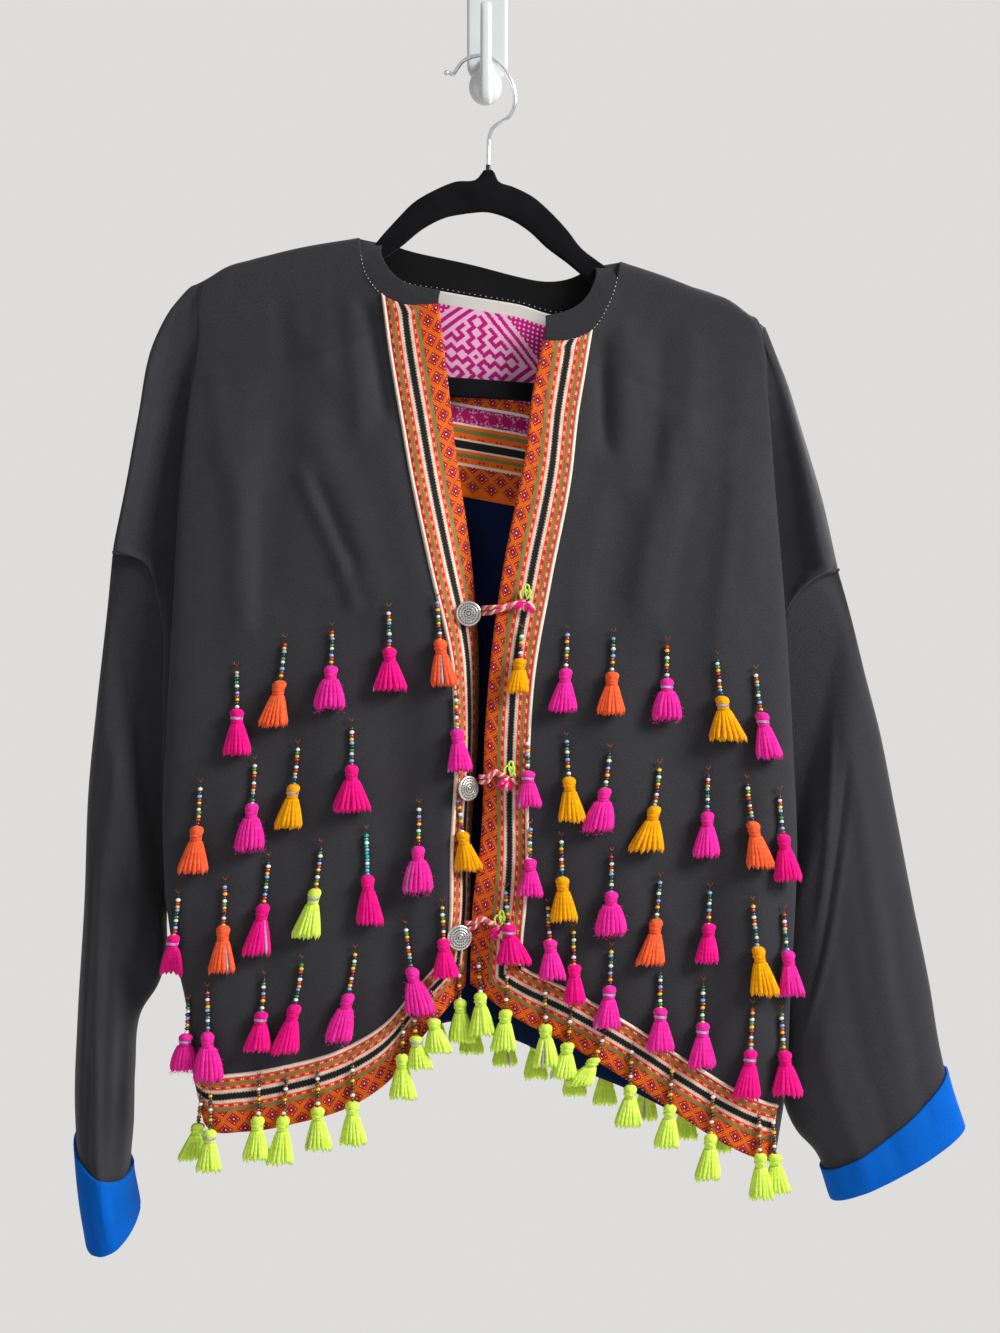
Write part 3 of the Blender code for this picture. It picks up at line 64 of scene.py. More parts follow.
Material = bpy.types.Material
Socket = bpy.types.NodeSocket
Tree = bpy.types.NodeTree
Item = bpy.types.Object

SLEEVE_SEAM = 2.0       # from a panel's rim to the middle of the sleeve's rim
SHOULDER_DEPTH = -15.0  # depth of the shoulder line, over the hanger
FRONT_RIM = -15.5       # depth of the fronts' outer rims
BACK_RIM = -14.2        # depth of the back's rims over the shoulders
SIDE_RIM = -13.2        # depth of the back's rims at the side seams
NECK_TURN = 0.012       # share of the back's width in which its rim leaves the shoulder
BACK_DEPTH = -6.0       # depth of the flat of the back at the shoulders
HEM_STAND_OFF = 10.0    # how much further the back's hem stands off the wall
ARMHOLE_BACK = -9.0     # depth of the back at the sleeve seams
HEM_BAND_SHARE = 0.938  # where the hem bands start, as a share of the height
ROLL_SHARE = 0.012      # how much of the height rolls over the shoulder
HANGER_DEPTH = -16.0    # depth of the hanger's middle
PIPING_WIDTH = 3.0      # width of the pipings
SETTLED = 0.07          # share of a sleeve's length in which it takes its own form
SWELLED = 0.22          # share of its length in which it reaches its depth
TURN_START = 0.88       # where a front starts to turn at the body's fold
TURN_WIDTH = 0.12       # share of its width in which it turns
FOOT_BLEND = 0.04       # share of the height in which the seam turns above the armhole
SIDE_BLEND = 0.05       # the same below it
CLOTH = 1.4             # thickness of the twill
RIBBON = 0.9            # thickness of the ribbons and the lining
RIBBON_LEVEL = 1.6      # from the middle of the twill to the middle of what lies on it
PIPING_LEVEL = 1.1      # from the middle of the twill to the piping's edges
PIPING_RISE = 2.0       # how much further its crest stands out
PIPING_WALL = 0.7       # thickness of its skin

# Opening, neck and body outlines as seen from the front: (x, z)
RIGHT_NECK = [(-97, -148), (-89, -180), (-79, -192), (-62, -200), (-36, -201)]
RIGHT_OPENING = [(-36, -201), (-30, -256), (-25, -304), (-13, -394), (-8, -460), (-9, -536),
                 (-13, -590), (-14, -650), (-17, -710)]
RIGHT_SHOULDER = [(-97, -148), (-144, -156), (-176, -164), (-197, -170), (-210, -178)]
RIGHT_FOLD = [(-210, -178), (-218, -196), (-218, -216), (-225, -277), (-231, -340),
              (-234, -408), (-239, -515), (-241, -610), (-235, -675), (-224, -723),
              (-219, -774), (-212, -806)]
RIGHT_HEM = [(-17, -710), (-50, -750), (-74, -781), (-96, -796), (-142, -811), (-180, -817),
             (-204, -816), (-212, -806)]
RIGHT_ARM_LINE = [(-226, -187), (-242, -206), (-252, -226), (-264, -284), (-273, -333),
                  (-284, -387)]
RIGHT_ARMHOLE = [(-284, -387), (-263, -391), (-250, -425), (-247, -500), (-246, -580),
                 (-244, -645)]
RIGHT_SIDE = [(-244, -645), (-232, -690), (-223, -730), (-214, -775), (-206, -802)]

LEFT_NECK = [(101, -166), (92, -198), (77, -221), (62, -227), (42, -228)]
LEFT_OPENING = [(42, -228), (34, -268), (29, -311), (13, -394), (5, -450), (-1, -520),
                (-4, -600), (-10, -650), (-12, -708)]
LEFT_SHOULDER = [(101, -166), (137, -178), (160, -187), (183, -195), (198, -206)]
LEFT_FOLD = [(198, -206), (207, -226), (211, -262), (217, -345), (223, -426), (228, -520),
             (231, -620), (229, -664), (226, -713), (222, -790), (214, -841)]
LEFT_HEM = [(-12, -708), (20, -732), (59, -752), (101, -777), (144, -806), (176, -826),
            (200, -837), (214, -841)]
LEFT_ARM_LINE = [(211, -216), (218, -234), (227, -257), (239, -296), (253, -343), (266, -400)]
LEFT_ARMHOLE = [(266, -400), (247, -409), (232, -424), (225, -446), (221.5, -480), (219, -560),
                (218, -640)]
LEFT_SIDE = [(218, -640), (214, -700), (211, -760), (208, -804), (205, -832)]

BACK_NECK = [(-97, -148), (-86, -166), (-63, -180), (-34, -185), (-6, -190), (24, -195),
             (56, -203), (84, -192), (101, -166)]
BACK_HEM = [(-206, -802), (-143, -784), (-67, -756), (-22, -742), (23, -757), (63, -776),
            (105, -793), (162, -820), (205, -832)]

# Depth of a front, down the height: share, opening edge, middle, side fold, band's share
RIGHT_DEPTH = [
    (0.00, -22, -22, -22, 0.212), (0.06, -24, -22, -21, 0.212), (0.154, -28, -27, -25, 0.203),
    (0.30, -27, -36, -31, 0.167), (0.45, -27, -45, -36, 0.131), (0.60, -28, -52, -40, 0.078),
    (0.75, -29, -57, -43, 0.064), (0.88, -38, -58, -44, 0.07), (1.00, -47, -56, -44, 0.10),
]
LEFT_DEPTH = [
    (0.00, -22, -22, -22, 0.176), (0.06, -24, -22, -21, 0.176), (0.167, -30, -28, -25, 0.176),
    (0.30, -38, -36, -31, 0.168), (0.45, -44, -45, -36, 0.153), (0.60, -48, -52, -40, 0.133),
    (0.75, -50, -57, -43, 0.14), (0.88, -52, -58, -44, 0.155), (1.00, -51, -56, -44, 0.155),
]
# Side of a front, down the height: share, valley inwards of the fold and its depth,
# arm cloth inwards of the outer line and its depth, depth of the outer line
RIGHT_SIDE_FORM = [
    (0.00, -6, -20, 5, -20, -15.5), (0.05, -6, -20, 5, -21, -15.5),
    (0.12, -2, -19, 7, -27, -15.5), (0.20, 5, -18, 10, -31, -15.5),
    (0.27, 7, -18, 13, -33, -15.5), (0.32, 7, -18, 12, -32, -16), (0.36, 6, -18, 8, -22, -17),
    (0.45, 5, -20, 5, -18, -17), (0.60, 5, -22, 5, -18, -17), (0.72, 3, -25, 4, -19, -16.5),
    (0.82, 1, -28, -2, -21, -16.2), (1.00, 1, -28, -2, -21, -16.2),
]
LEFT_SIDE_FORM = [
    (0.00, -6, -20, 5, -20, -15.5), (0.05, -3, -20, 5, -21, -15.5),
    (0.12, 0, -22, 6, -26, -15.5), (0.20, 2, -22, 9, -30, -15.5),
    (0.26, 3, -21, 11, -31, -15.5), (0.30, 4, -20, 10, -30, -16), (0.36, 5, -19, 3, -20, -17),
    (0.45, 5, -20, 5, -18, -17), (0.60, 7, -22, 5, -18, -17), (0.72, 9, -25, 4, -19, -16.5),
    (0.82, 10, -27, -3, -20, -16.2), (1.00, 8, -28, -3, -21, -16.2),
]
# Large folds of the fronts: from x, z to x, z, half width, how far they stand out
RIGHT_FOLDS = [
    (-132, -290, -98, -370, 15, 3.5), (-98, -370, -84, -420, 13, 2.5),
    (-186, -300, -178, -450, 18, 3.0), (-156, -250, -168, -420, 16, -2.5),
    (-110, -470, -130, -700, 22, 3.0), (-60, -480, -70, -700, 18, -3.0),
    (-190, -560, -182, -740, 18, 3.0),
]
LEFT_FOLDS = [
    (150, -290, 118, -440, 18, 3.0), (110, -300, 90, -430, 15, -2.5),
    (196, -330, 176, -520, 18, 2.5), (90, -500, 110, -720, 22, 3.0),
    (150, -520, 160, -740, 20, -2.5), (196, -600, 190, -780, 16, 3.0),
]
BACK_FOLDS = [
    (-150, -260, -130, -640, 26, -2.5), (-60, -300, -40, -700, 24, 1.4),
    (50, -300, 40, -680, 26, -2.0), (130, -280, 150, -700, 26, -2.6),
]

# Sleeve rings: outer x, z, inner x, z, front depth, back depth, sag of the front
RIGHT_RINGS = [
    (-284, -387, -244, -645, -30, -6, 0), (-288, -430, -244, -668, -34, -6, 0),
    (-295, -498, -244, -691, -37, -6, 0), (-301, -560, -250, -713, -40, -6, 0),
    (-304, -650, -263, -734, -44, -6, 0), (-309, -737, -268, -778, -48, -7, 2),
    (-311, -794, -269, -818, -50, -8, 6), (-309, -834, -271, -855, -50, -9, 12),
    (-306, -866, -267, -878, -49, -10, 17), (-301, -897, -266, -884, -46, -11, 21),
]
LEFT_RINGS = [
    (266, -400, 218, -640, -28, -6, 0), (275, -432, 221, -664, -32, -6, 0),
    (286, -478, 222, -690, -34, -6, 0), (297, -521, 222, -715, -36, -6, 0),
    (309, -582, 223, -742, -37, -6, 0), (322, -650, 223, -772, -38, -6, 0),
    (335, -714, 225, -800, -38, -7, 2), (343, -762, 235, -824, -38, -8, 6),
    (350, -791, 249, -839, -37, -8, 12), (360, -822, 263, -875, -36, -9, 6),
]
RIGHT_CUFF_START = 0.86  # share of the sleeve's length where its cuff begins
LEFT_CUFF_START = 0.895

# Upper edge of the soft collar: right front, round the back, left front: (x, y, z)
COLLAR_TOP = (
    [(-35, -30.5, -190), (-67, -28, -181), (-77, -26, -169), (-82, -24, -157),
     (-83, -21.6, -149), (-83.5, -15, -145.5)],
    [(-83.5, -15, -145.5), (-78, -9.5, -149), (-62, -8.5, -155.5), (-37, -8, -161),
     (-9, -8, -167), (21, -8, -175), (50, -8.5, -180), (74, -9.5, -173), (84.5, -15, -162)],
    [(84.5, -15, -162), (85.5, -22, -168), (83, -24, -176), (75, -26, -195),
     (59, -29, -206), (44, -32, -209)],
)

# Velvet hanger, seen from the front: outside and inside of its flat frame
HANGER_OUTSIDE = [
    [(-2.6, -96.2), (-4.2, -98.5), (-7.4, -102.6), (-24, -105), (-39, -111), (-56, -121),
     (-68, -133), (-79, -145), (-88, -154.6), (-97, -157.6), (-144, -162.2), (-176, -168.2),
     (-196, -173.8), (-206, -181), (-211, -190), (-212, -202), (-207, -219), (-195, -240)],
    [(-195, -240), (-178, -255), (-120, -261), (-31, -268), (36, -272), (120, -280),
     (180, -284), (196, -276), (205, -259), (207, -244), (206, -230), (200, -219)],
    [(200, -219), (193, -211), (183, -200), (160, -191.6), (137, -183.5), (101, -174.5),
     (92, -170.6), (83, -164.5), (72, -156), (61, -142), (48, -128), (34, -116), (20, -109),
     (8, -104), (5.8, -98.5), (4.4, -96.2)],
    [(4.4, -96.2), (-2.6, -96.2)],
]
HANGER_INSIDE = [
    (-15, -129), (-31, -132), (-49, -141), (-65, -154), (-81, -165), (-112, -176),
    (-142, -183), (-175, -191), (-191, -197), (-195, -206), (-192, -219), (-182, -232),
    (-165, -241), (-120, -246), (-31, -253), (36, -258), (120, -266), (172, -270), (187, -262),
    (193, -247), (190, -236), (182, -228), (160, -218), (136, -209), (102, -195), (77, -180),
    (61, -167), (45, -155), (31, -142), (14, -132), (-1, -128),
]
WIRE_ROUTE = [
    (-32, -22.5), (-29.5, -22), (-26, -23.5), (-23.5, -20), (-18.5, -13.5), (-12, -10.2),
    (-5, -9), (2, -11), (9, -16), (16, -25), (20.5, -36), (20.8, -46), (17, -55), (10, -60),
    (4, -64.5), (1.6, -71), (1, -80), (0.9, -94.4),
]
# Crook of the wall hook seen from the side: (y, z)
CROOK_OUTLINE = [
    [(-3, -24), (-9, -38), (-15, -46), (-21, -48), (-26, -44), (-28, -34), (-27.5, -14),
     (-26, 6), (-24, 24), (-22, 32)],
    [(-22, 32), (-19.6, 24), (-19.8, 6), (-20, -8), (-18.6, -13), (-16, -13.9), (-12, -13.4),
     (-8, -10), (-3, -4)],
    [(-3, -4), (-3, -24)],
]

# Buttons: x, z, turn about Z in degrees
BUTTONS = [(-13.5, -433.5, 0), (-13.5, -563, 40), (-20, -673, 15)]
# Half profile of a button: radius, height over its rim
BUTTON_PROFILE = [
    (0.0, 2.0), (0.9, 2.05), (1.3, 1.75), (1.7, 1.75), (2.1, 2.0), (2.7, 1.95), (3.1, 1.55),
    (3.6, 1.55), (4.0, 1.85), (4.8, 1.75), (5.2, 1.35), (5.6, 1.35), (6.0, 1.6), (6.8, 1.45),
    (7.2, 1.05), (7.6, 1.05), (8.0, 1.3), (8.9, 1.0), (9.4, 0.6), (9.6, 0.0), (9.2, -0.6),
    (8.2, -0.9), (1.9, -1.1), (1.5, -1.4), (1.5, -2.6), (0.0, -2.7),
]
# Rings of grains on a button: radius, count
BUTTON_GRAINS = [(3.4, 12), (5.4, 20), (7.4, 28)]
# Loops: sewn end x, z, middle x, z, end at the button x, z
LOOPS = [
    (29, -424, 14, -429, 2.5, -431), (17, -555, 6, -551, 0.5, -556),
    (10, -665, -4, -659, -10.0, -664),
]
# Soft creases of the panels: from x, z to x, z, half width, how far they stand out
RIGHT_CREASES = [
    (-90, -200, -76, -285, 6, -3.4), (-104, -196, -94, -300, 8, 2.4),
    (-128, -176, -120, -240, 9, 1.4), (-160, -182, -150, -250, 10, -1.5),
    (-140, -326, -108, -398, 6, 3.2), (-110, -396, -98, -430, 5, 2.4),
    (-128, -336, -98, -400, 6, -2.2), (-186, -330, -180, -440, 9, 1.4),
    (-172, -340, -168, -452, 7, -1.0), (-150, -205, -112, -262, 9, 1.2),
    (-66, -240, -58, -330, 8, -1.0), (-206, -250, -196, -330, 8, 1.2),
    (-146, -620, -150, -760, 12, 1.4), (-96, -640, -104, -770, 10, -1.2),
    (-205, -640, -192, -780, 9, 1.2), (-52, -560, -56, -690, 10, 1.2),
]
LEFT_CREASES = [
    (86, -222, 90, -310, 6, -3.4), (104, -214, 106, -340, 10, 2.6),
    (130, -222, 128, -350, 8, -1.8), (158, -222, 150, -300, 10, 1.6),
    (138, -300, 112, -420, 8, 1.6), (160, -330, 136, -430, 8, -1.2),
    (186, -340, 168, -470, 8, 1.4), (196, -250, 182, -330, 8, 1.0),
    (90, -250, 76, -350, 8, -1.0), (112, -235, 132, -285, 9, 1.0),
    (60, -560, 72, -700, 12, 1.2), (118, -600, 128, -760, 11, -1.2),
    (178, -600, 176, -760, 10, 1.4), (206, -560, 200, -700, 8, 1.0),
]
BACK_CREASES = [
    (-120, -230, -60, -420, 14, 1.6), (-10, -260, -30, -560, 15, -2.0),
    (90, -240, 70, -480, 14, 1.6), (150, -420, 120, -700, 12, -2.2),
    (-170, -460, -150, -720, 12, 1.6), (20, -520, 10, -720, 14, 1.6),
    (-70, -480, -90, -700, 11, -2.0), (160, -260, 172, -420, 11, -1.8),
]
# Creases of the sleeves: share across and along at each end, half width, stand out
RIGHT_ARM_CREASES = [
    (0.84, -0.10, 0.80, 0.86, 0.16, -6.0), (0.30, 0.10, 0.42, 0.62, 0.07, 2.4),
    (0.55, 0.16, 0.60, 0.80, 0.06, -2.0), (0.74, 0.12, 0.72, 0.70, 0.05, 1.8),
    (0.20, 0.30, 0.26, 0.86, 0.05, -1.4), (0.45, 0.62, 0.62, 0.98, 0.07, 2.0),
    (0.36, 0.70, 0.34, 1.00, 0.05, -1.6),
]
LEFT_ARM_CREASES = [
    (0.34, 0.12, 0.66, 0.34, 0.05, 2.6), (0.30, 0.22, 0.70, 0.44, 0.045, -2.2),
    (0.40, 0.30, 0.78, 0.52, 0.05, 2.0), (0.24, 0.20, 0.30, 0.78, 0.06, 1.8),
    (0.52, 0.46, 0.50, 0.96, 0.06, -1.8), (0.70, 0.56, 0.74, 0.98, 0.06, 1.8),
    (0.16, 0.50, 0.20, 0.95, 0.05, -1.2),
]

FINE_BAND = 14          # steps of a fine mesh across a band
FINE_BODY = 62          # across a front's body
FINE_TURN = 10          # of those, across the turn at its side
FINE_SIDE = 26          # from the body's fold to the outer seam
FINE_ROWS = 150         # down a front
FINE_BACK = 92          # across the back
FINE_RING = 44          # steps along each side of a sleeve's ring
FINE_ARM = 96           # along a sleeve
FINE_CUFF = 18          # along a cuff


class Yarn(Enum):
    """Kinds of wool in the tassels."""

    HOT_PINK = "hot_pink"
    PINK = "pink"
    CORAL = "coral"
    GOLDEN = "golden"
    NEON = "neon"


class Beads(Enum):
    """Kinds of bead string."""

    MIXED = "mixed"
    TURQUOISE = "turquoise"
    BRONZE = "bronze"


class Track:
    """A curve through runs of points: smooth along a run, with a corner between runs."""

    def __init__(self, *runs: Sequence) -> None:
        """Start from one or more runs of points."""
        self.spans: list[tuple] = []
        self.ends: list[float] = []
        self.length = 0.0
        for run in runs:
            self.add_run([Vector(point) for point in run])

    def add_run(self, points: list[Vector]) -> None:
        """Add the spans between a run's points.

        Args:
            points: The run's points in order.
        """
        for index in range(len(points) - 1):
            start = points[index]
            end = points[index + 1]
            before = points[index - 1] if index else 2 * start - end
            after = points[index + 2] if index + 2 < len(points) else 2 * end - start
            reach = (end - start).length
            leave = self.slope(before, start, end) * reach
            arrive = self.slope(start, end, after) * reach
            self.spans.append((self.length, reach, start, end, leave, arrive))
            self.length += reach
        self.ends.append(self.length)

    @staticmethod
    def slope(before: Vector, middle: Vector, after: Vector) -> Vector:
        """Direction of the curve at the middle one of three points."""
        first = (middle - before).length
        second = (after - middle).length
        slope = (middle - before) / first * second + (after - middle) / second * first
        return slope / (first + second)

    def at(self, share: float) -> Vector:
        """Point at a share of the whole length."""
        distance = min(max(share, 0.0), 1.0) * self.length
        for begin, reach, start, end, leave, arrive in self.spans:
            if distance <= begin + reach:
                break
        return hermite(start, end, leave, arrive, min((distance - begin) / reach, 1.0))

    def corner(self, run: int) -> float:
        """Share of the length at which a run ends."""
        return self.ends[run] / self.length


class Rows:
    """A table read smoothly, and without overshoot, between its rows."""

    def __init__(self, rows: Table) -> None:
        """Keep the table."""
        self.rows = rows

    def slope(self, index: int, column: int) -> float:
        """Slope of a column at a row."""
        if index in (0, len(self.rows) - 1):
            return 0.0
        before, here, after = self.rows[index - 1:index + 2]
        first = (here[column] - before[column]) / (here[0] - before[0])
        second = (after[column] - here[column]) / (after[0] - here[0])
        if first * second <= 0:
            return 0.0
        return 2 * first * second / (first + second)

    def at(self, key: float) -> list[float]:
        """Every column but the first, at a value of the first."""
        key = min(max(key, self.rows[0][0]), self.rows[-1][0])
        index = 0
        while index < len(self.rows) - 2 and key > self.rows[index + 1][0]:
            index += 1
        start = self.rows[index]
        end = self.rows[index + 1]
        step = end[0] - start[0]
        t = (key - start[0]) / step
        values = []
        for column in range(1, len(start)):
            leave = self.slope(index, column) * step
            arrive = self.slope(index + 1, column) * step
            values.append(hermite(start[column], end[column], leave, arrive, t))
        return values


def blend(start: Place, end: Place, share: float) -> Place:
    """Value or point between two others."""
    return start + (end - start) * share


def hermite(start: Place, end: Place, leave: Place, arrive: Place, t: float) -> Place:
    """Value or point on a smooth curve between two others, by its slopes at both."""
    rest = 1 - t
    ends = start * (1 + 2 * t) * rest ** 2 + end * (3 - 2 * t) * t ** 2
    return ends + leave * t * rest ** 2 - arrive * rest * t ** 2


def ease(value: float) -> float:
    """Soft step from 0 to 1."""
    value = min(max(value, 0.0), 1.0)
    return value * value * (3 - 2 * value)


def bulge(share: float) -> float:
    """Quarter round from 0 to 1."""
    share = min(max(share, 0.0), 1.0)
    return math.sqrt(1 - (1 - share) ** 2)


def steps(start: float, end: float, count: int) -> list[float]:
    """Evenly spaced values, both ends included."""
    return [blend(start, end, index / count) for index in range(count + 1)]


def nearest(values: Sequence[float], value: float) -> int:
    """Index of the closest of some values."""
    return min(range(len(values)), key=lambda index: abs(values[index] - value))


def fold_height(folds: Table, x: float, z: float) -> float:
    """How far the folds stand out at a place.

    Args:
        folds: Rows of a fold table.
        x: Place across.
        z: Height.

    Returns:
        The height of the folds there, in millimetres.
    """
    height = 0.0
    place = Vector((x, z))
    for x_top, z_top, x_end, z_end, half_width, rise in folds:
        top = Vector((x_top, z_top))
        along = Vector((x_end, z_end)) - top
        share = (place - top).dot(along) / along.length_squared
        if not -0.3 < share < 1.3:
            continue
        foot = top + along * min(max(share, 0.0), 1.0)
        ends = ease((share + 0.25) / 0.4) * ease((1.25 - share) / 0.4)
        height += rise * ends * math.exp(-((place - foot).length / half_width) ** 2)
    return height


def unevenness(x: float, z: float, seed: float) -> float:
    """Small uneven swell of hanging cloth, in millimetres."""
    wide = noise.noise(Vector((x / 46, z / 90, seed)))
    fine = noise.noise(Vector((x / 15, z / 34, seed + 7)))
    return 1.1 * wide + 0.35 * fine


def coons(u: float, v: float, top: Track, bottom: Track, near: Track, far: Track) -> Vector:
    """Point of the flat patch between four outlines."""
    across = blend(top.at(u), bottom.at(u), v)
    down = blend(near.at(v), far.at(v), u)
    upper = blend(top.at(0), top.at(1), u)
    lower = blend(bottom.at(0), bottom.at(1), u)
    return across + down - blend(upper, lower, v)


def armhole_share(seam: Track, v: float) -> float:
    """1 along the armhole of an outer seam, 0 above and below it."""
    above = (v - seam.corner(0)) / FOOT_BLEND
    below = (seam.corner(1) - v) / SIDE_BLEND
    return ease(above + 0.5) * ease(below + 0.5)


class Front:
    """One front: u is 0 at the opening, 1 at the body's fold and 2 at the outer seams."""

    def __init__(self, shoulder: Table, fold: Table, neck: Table, opening: Table, hem: Table,
                 outer: Sequence[Table], depth: Table, side: Table, folds: Table,
                 creases: Table, seed: float) -> None:
        """Take a front's outlines and tables."""
        self.top = Track(shoulder)
        self.fold = Track(fold)
        self.near = Track(neck, opening)
        self.hem = Track(hem)
        self.outer = Track(*outer)
        self.depth = Rows(depth)
        self.side = Rows(side)
        self.folds = folds
        self.creases = creases
        self.seed = seed
        self.inward = 1 if fold[0][0] < 0 else -1

    def rolled(self, depth: float, v: float) -> float:
        """Depth with the roll over the shoulder."""
        return FRONT_RIM + (depth - FRONT_RIM) * bulge(v / ROLL_SHARE)

    def body(self, u: float, v: float) -> Vector:
        """Point between the opening and the body's fold."""
        flat = coons(u, v, self.top, self.hem, self.near, self.fold)
        edge, middle, fold, band = self.depth.at(v)
        curl = (1 - min(u / (1.6 * band), 1.0)) ** 2
        turn = math.sqrt(max(1 - max((u - TURN_START) / TURN_WIDTH, 0.0) ** 2, 0.0))
        depth = blend(fold, blend(middle, edge, curl), turn)
        calm = turn * ease(v / 0.12)
        depth -= fold_height(self.folds, flat.x, flat.y) * calm * ease(u / 0.3)
        small = fold_height(self.creases, flat.x, flat.y)
        small += unevenness(flat.x, flat.y, self.seed) * ease((u - band) / 0.1)
        depth -= small * calm * ease(u / band) * ease((v - 0.02) / 0.05)
        return Vector((flat.x, self.rolled(depth, v), flat.y))

    def seam_turn(self, v: float) -> float:
        """1 where the outer seam faces the back, 0 along the armhole."""
        return 1 - armhole_share(self.outer, v)

    def wrap(self, v: float) -> Track:
        """Curve from the body's fold through the valley to the outer seam."""
        valley_in, valley_depth, arm_in, arm_depth, seam_depth = self.side.at(v)
        fold = self.body(1.0, v)
        seam = self.outer.at(v)
        turn = self.seam_turn(v)
        lip_in = blend(2.4, 0.8, turn)
        lip_depth = seam_depth - blend(0.3, 2.4, turn)
        crest, floor = (arm_in * 0.3, 0.66) if self.inward > 0 else (arm_in, 0.5)
        stops = [
            (fold.x + self.inward * valley_in, valley_depth, 0.35),
            (blend(fold.x, seam.x + crest * self.inward, floor), valley_depth - 0.5, 0.55),
            (seam.x + self.inward * crest, arm_depth, 0.82),
            (seam.x + self.inward * lip_in, lip_depth, 0.97),
            (seam.x, seam_depth, 1.0),
        ]
        points = [fold]
        for x, depth, share in stops:
            points.append(Vector((x, self.rolled(depth, v), blend(fold.z, seam.y, share))))
        return Track(points)

    def seam_depth(self, v: float) -> float:
        """Depth of the outer seam."""
        return self.rolled(self.side.at(v)[4], v)

    def columns(self, v: float) -> list[float]:
        """Shares of the width where the fine mesh has lines."""
        band = self.depth.at(v)[3]
        piping = band + PIPING_WIDTH / abs(self.fold.at(v).x - self.near.at(v).x)
        shares = steps(0.0, band, FINE_BAND)
        shares += steps(piping, TURN_START, FINE_BODY - FINE_TURN)
        shares += [TURN_START + TURN_WIDTH * math.sin(math.pi / 2 * index / FINE_TURN)
                   for index in range(1, FINE_TURN + 1)]
        return shares + steps(1.0, 2.0, FINE_SIDE)[1:]

    def rows(self) -> list[float]:
        """Shares of the height where the fine mesh has lines."""
        neck = self.near.corner(0)
        shares = [0.0, 0.001, 0.003, 0.006, 0.010, 0.016]
        shares += steps(0.026, neck, 16)
        shares += steps(neck, HEM_BAND_SHARE - 0.005, FINE_ROWS - 30)[1:]
        return shares + steps(HEM_BAND_SHARE, 1.0, 12)

    def grid(self) -> Grid:
        """Rows of points over the whole front."""
        lines = []
        for v in self.rows():
            curve = self.wrap(v)
            lines.append([self.body(u, v) if u <= 1 else curve.at(u - 1)
                          for u in self.columns(v)])
        return lines


class Back:
    """The back: u runs from the wearer's right to the left."""

    def __init__(self, right: Front, left: Front) -> None:
        """Take the outlines that the back shares with the fronts."""
        right_run = [right.outer.at(0)] + [right.top.at(1 - step / 4) for step in range(5)]
        left_run = [left.top.at(step / 4) for step in range(5)] + [left.outer.at(0)]
        self.top = Track(right_run, BACK_NECK, left_run)
        self.hem = Track(BACK_HEM)
        self.right = right.outer
        self.left = left.outer

    def rim(self, seam: Track, v: float) -> float:
        """Depth of an outer seam, which lies deeper along the armhole."""
        rim = BACK_RIM if v < seam.corner(1) else SIDE_RIM
        return blend(rim, ARMHOLE_BACK, armhole_share(seam, v))

    def top_rim(self, u: float) -> float:
        """Depth of the upper rim: over the shoulder, or flat at the neck."""
        start = self.top.corner(0)
        end = self.top.corner(1)
        neck = ease((u - start) / NECK_TURN) * ease((end - u) / NECK_TURN)
        return blend(BACK_RIM, BACK_DEPTH, neck)

    def point(self, u: float, v: float) -> Vector:
        """Point of the middle of the cloth."""
        flat = coons(u, v, self.top, self.hem, self.right, self.left)
        calm = ease(u / 0.15) * ease((1 - u) / 0.15) * ease(v / 0.15)
        depth = BACK_DEPTH - HEM_STAND_OFF * ease((v - 0.35) / 0.6)
        depth -= abs(fold_height(BACK_FOLDS, flat.x, flat.y)) * calm
        small = fold_height(BACK_CREASES, flat.x, flat.y) + unevenness(flat.x, flat.y, 3.0)
        depth -= small * calm * 0.7
        depth = blend(self.rim(self.right, v), depth, bulge(u / 0.05))
        depth = blend(self.rim(self.left, v), depth, bulge((1 - u) / 0.05))
        rim = self.top_rim(u)
        return Vector((flat.x, blend(rim, depth, bulge(v / ROLL_SHARE)), flat.y))

    def columns(self) -> list[float]:
        """Shares of the width where the fine mesh has lines."""
        start = self.top.corner(0)
        end = self.top.corner(1)
        edge = [0.0, 0.001, 0.004, 0.009, 0.016, 0.026, 0.038]
        shares = edge + steps(0.052, start, 26)
        shares += [start + NECK_TURN * part for part in (0.25, 0.5, 0.75, 1.0)]
        shares += steps(start + NECK_TURN, end - NECK_TURN, FINE_BACK - 58)[1:]
        shares += [end - NECK_TURN * part for part in (0.75, 0.5, 0.25, 0.0)]
        shares += steps(end, 0.948, 26)[1:]
        return shares + [1 - share for share in reversed(edge)]

    def rows(self) -> list[float]:
        """Shares of the height where the fine mesh has lines."""
        shares = [0.0, 0.0015, 0.004, 0.008, 0.013]
        shares += steps(0.02, HEM_BAND_SHARE - 0.005, 100)
        return shares + steps(HEM_BAND_SHARE, 1.0, 10)

    def grid(self, columns: list[float], rows: list[float], height: float = 0.0) -> Grid:
        """Rows of points, moved towards the wall by a height.

        Args:
            columns: Shares of the width.
            rows: Shares of the height.
            height: Distance towards the wall, or into the jacket if negative.

        Returns:
            The points, row by row.
        """
        return [[self.point(u, v) + Vector((0, height, 0)) for u in columns] for v in rows]


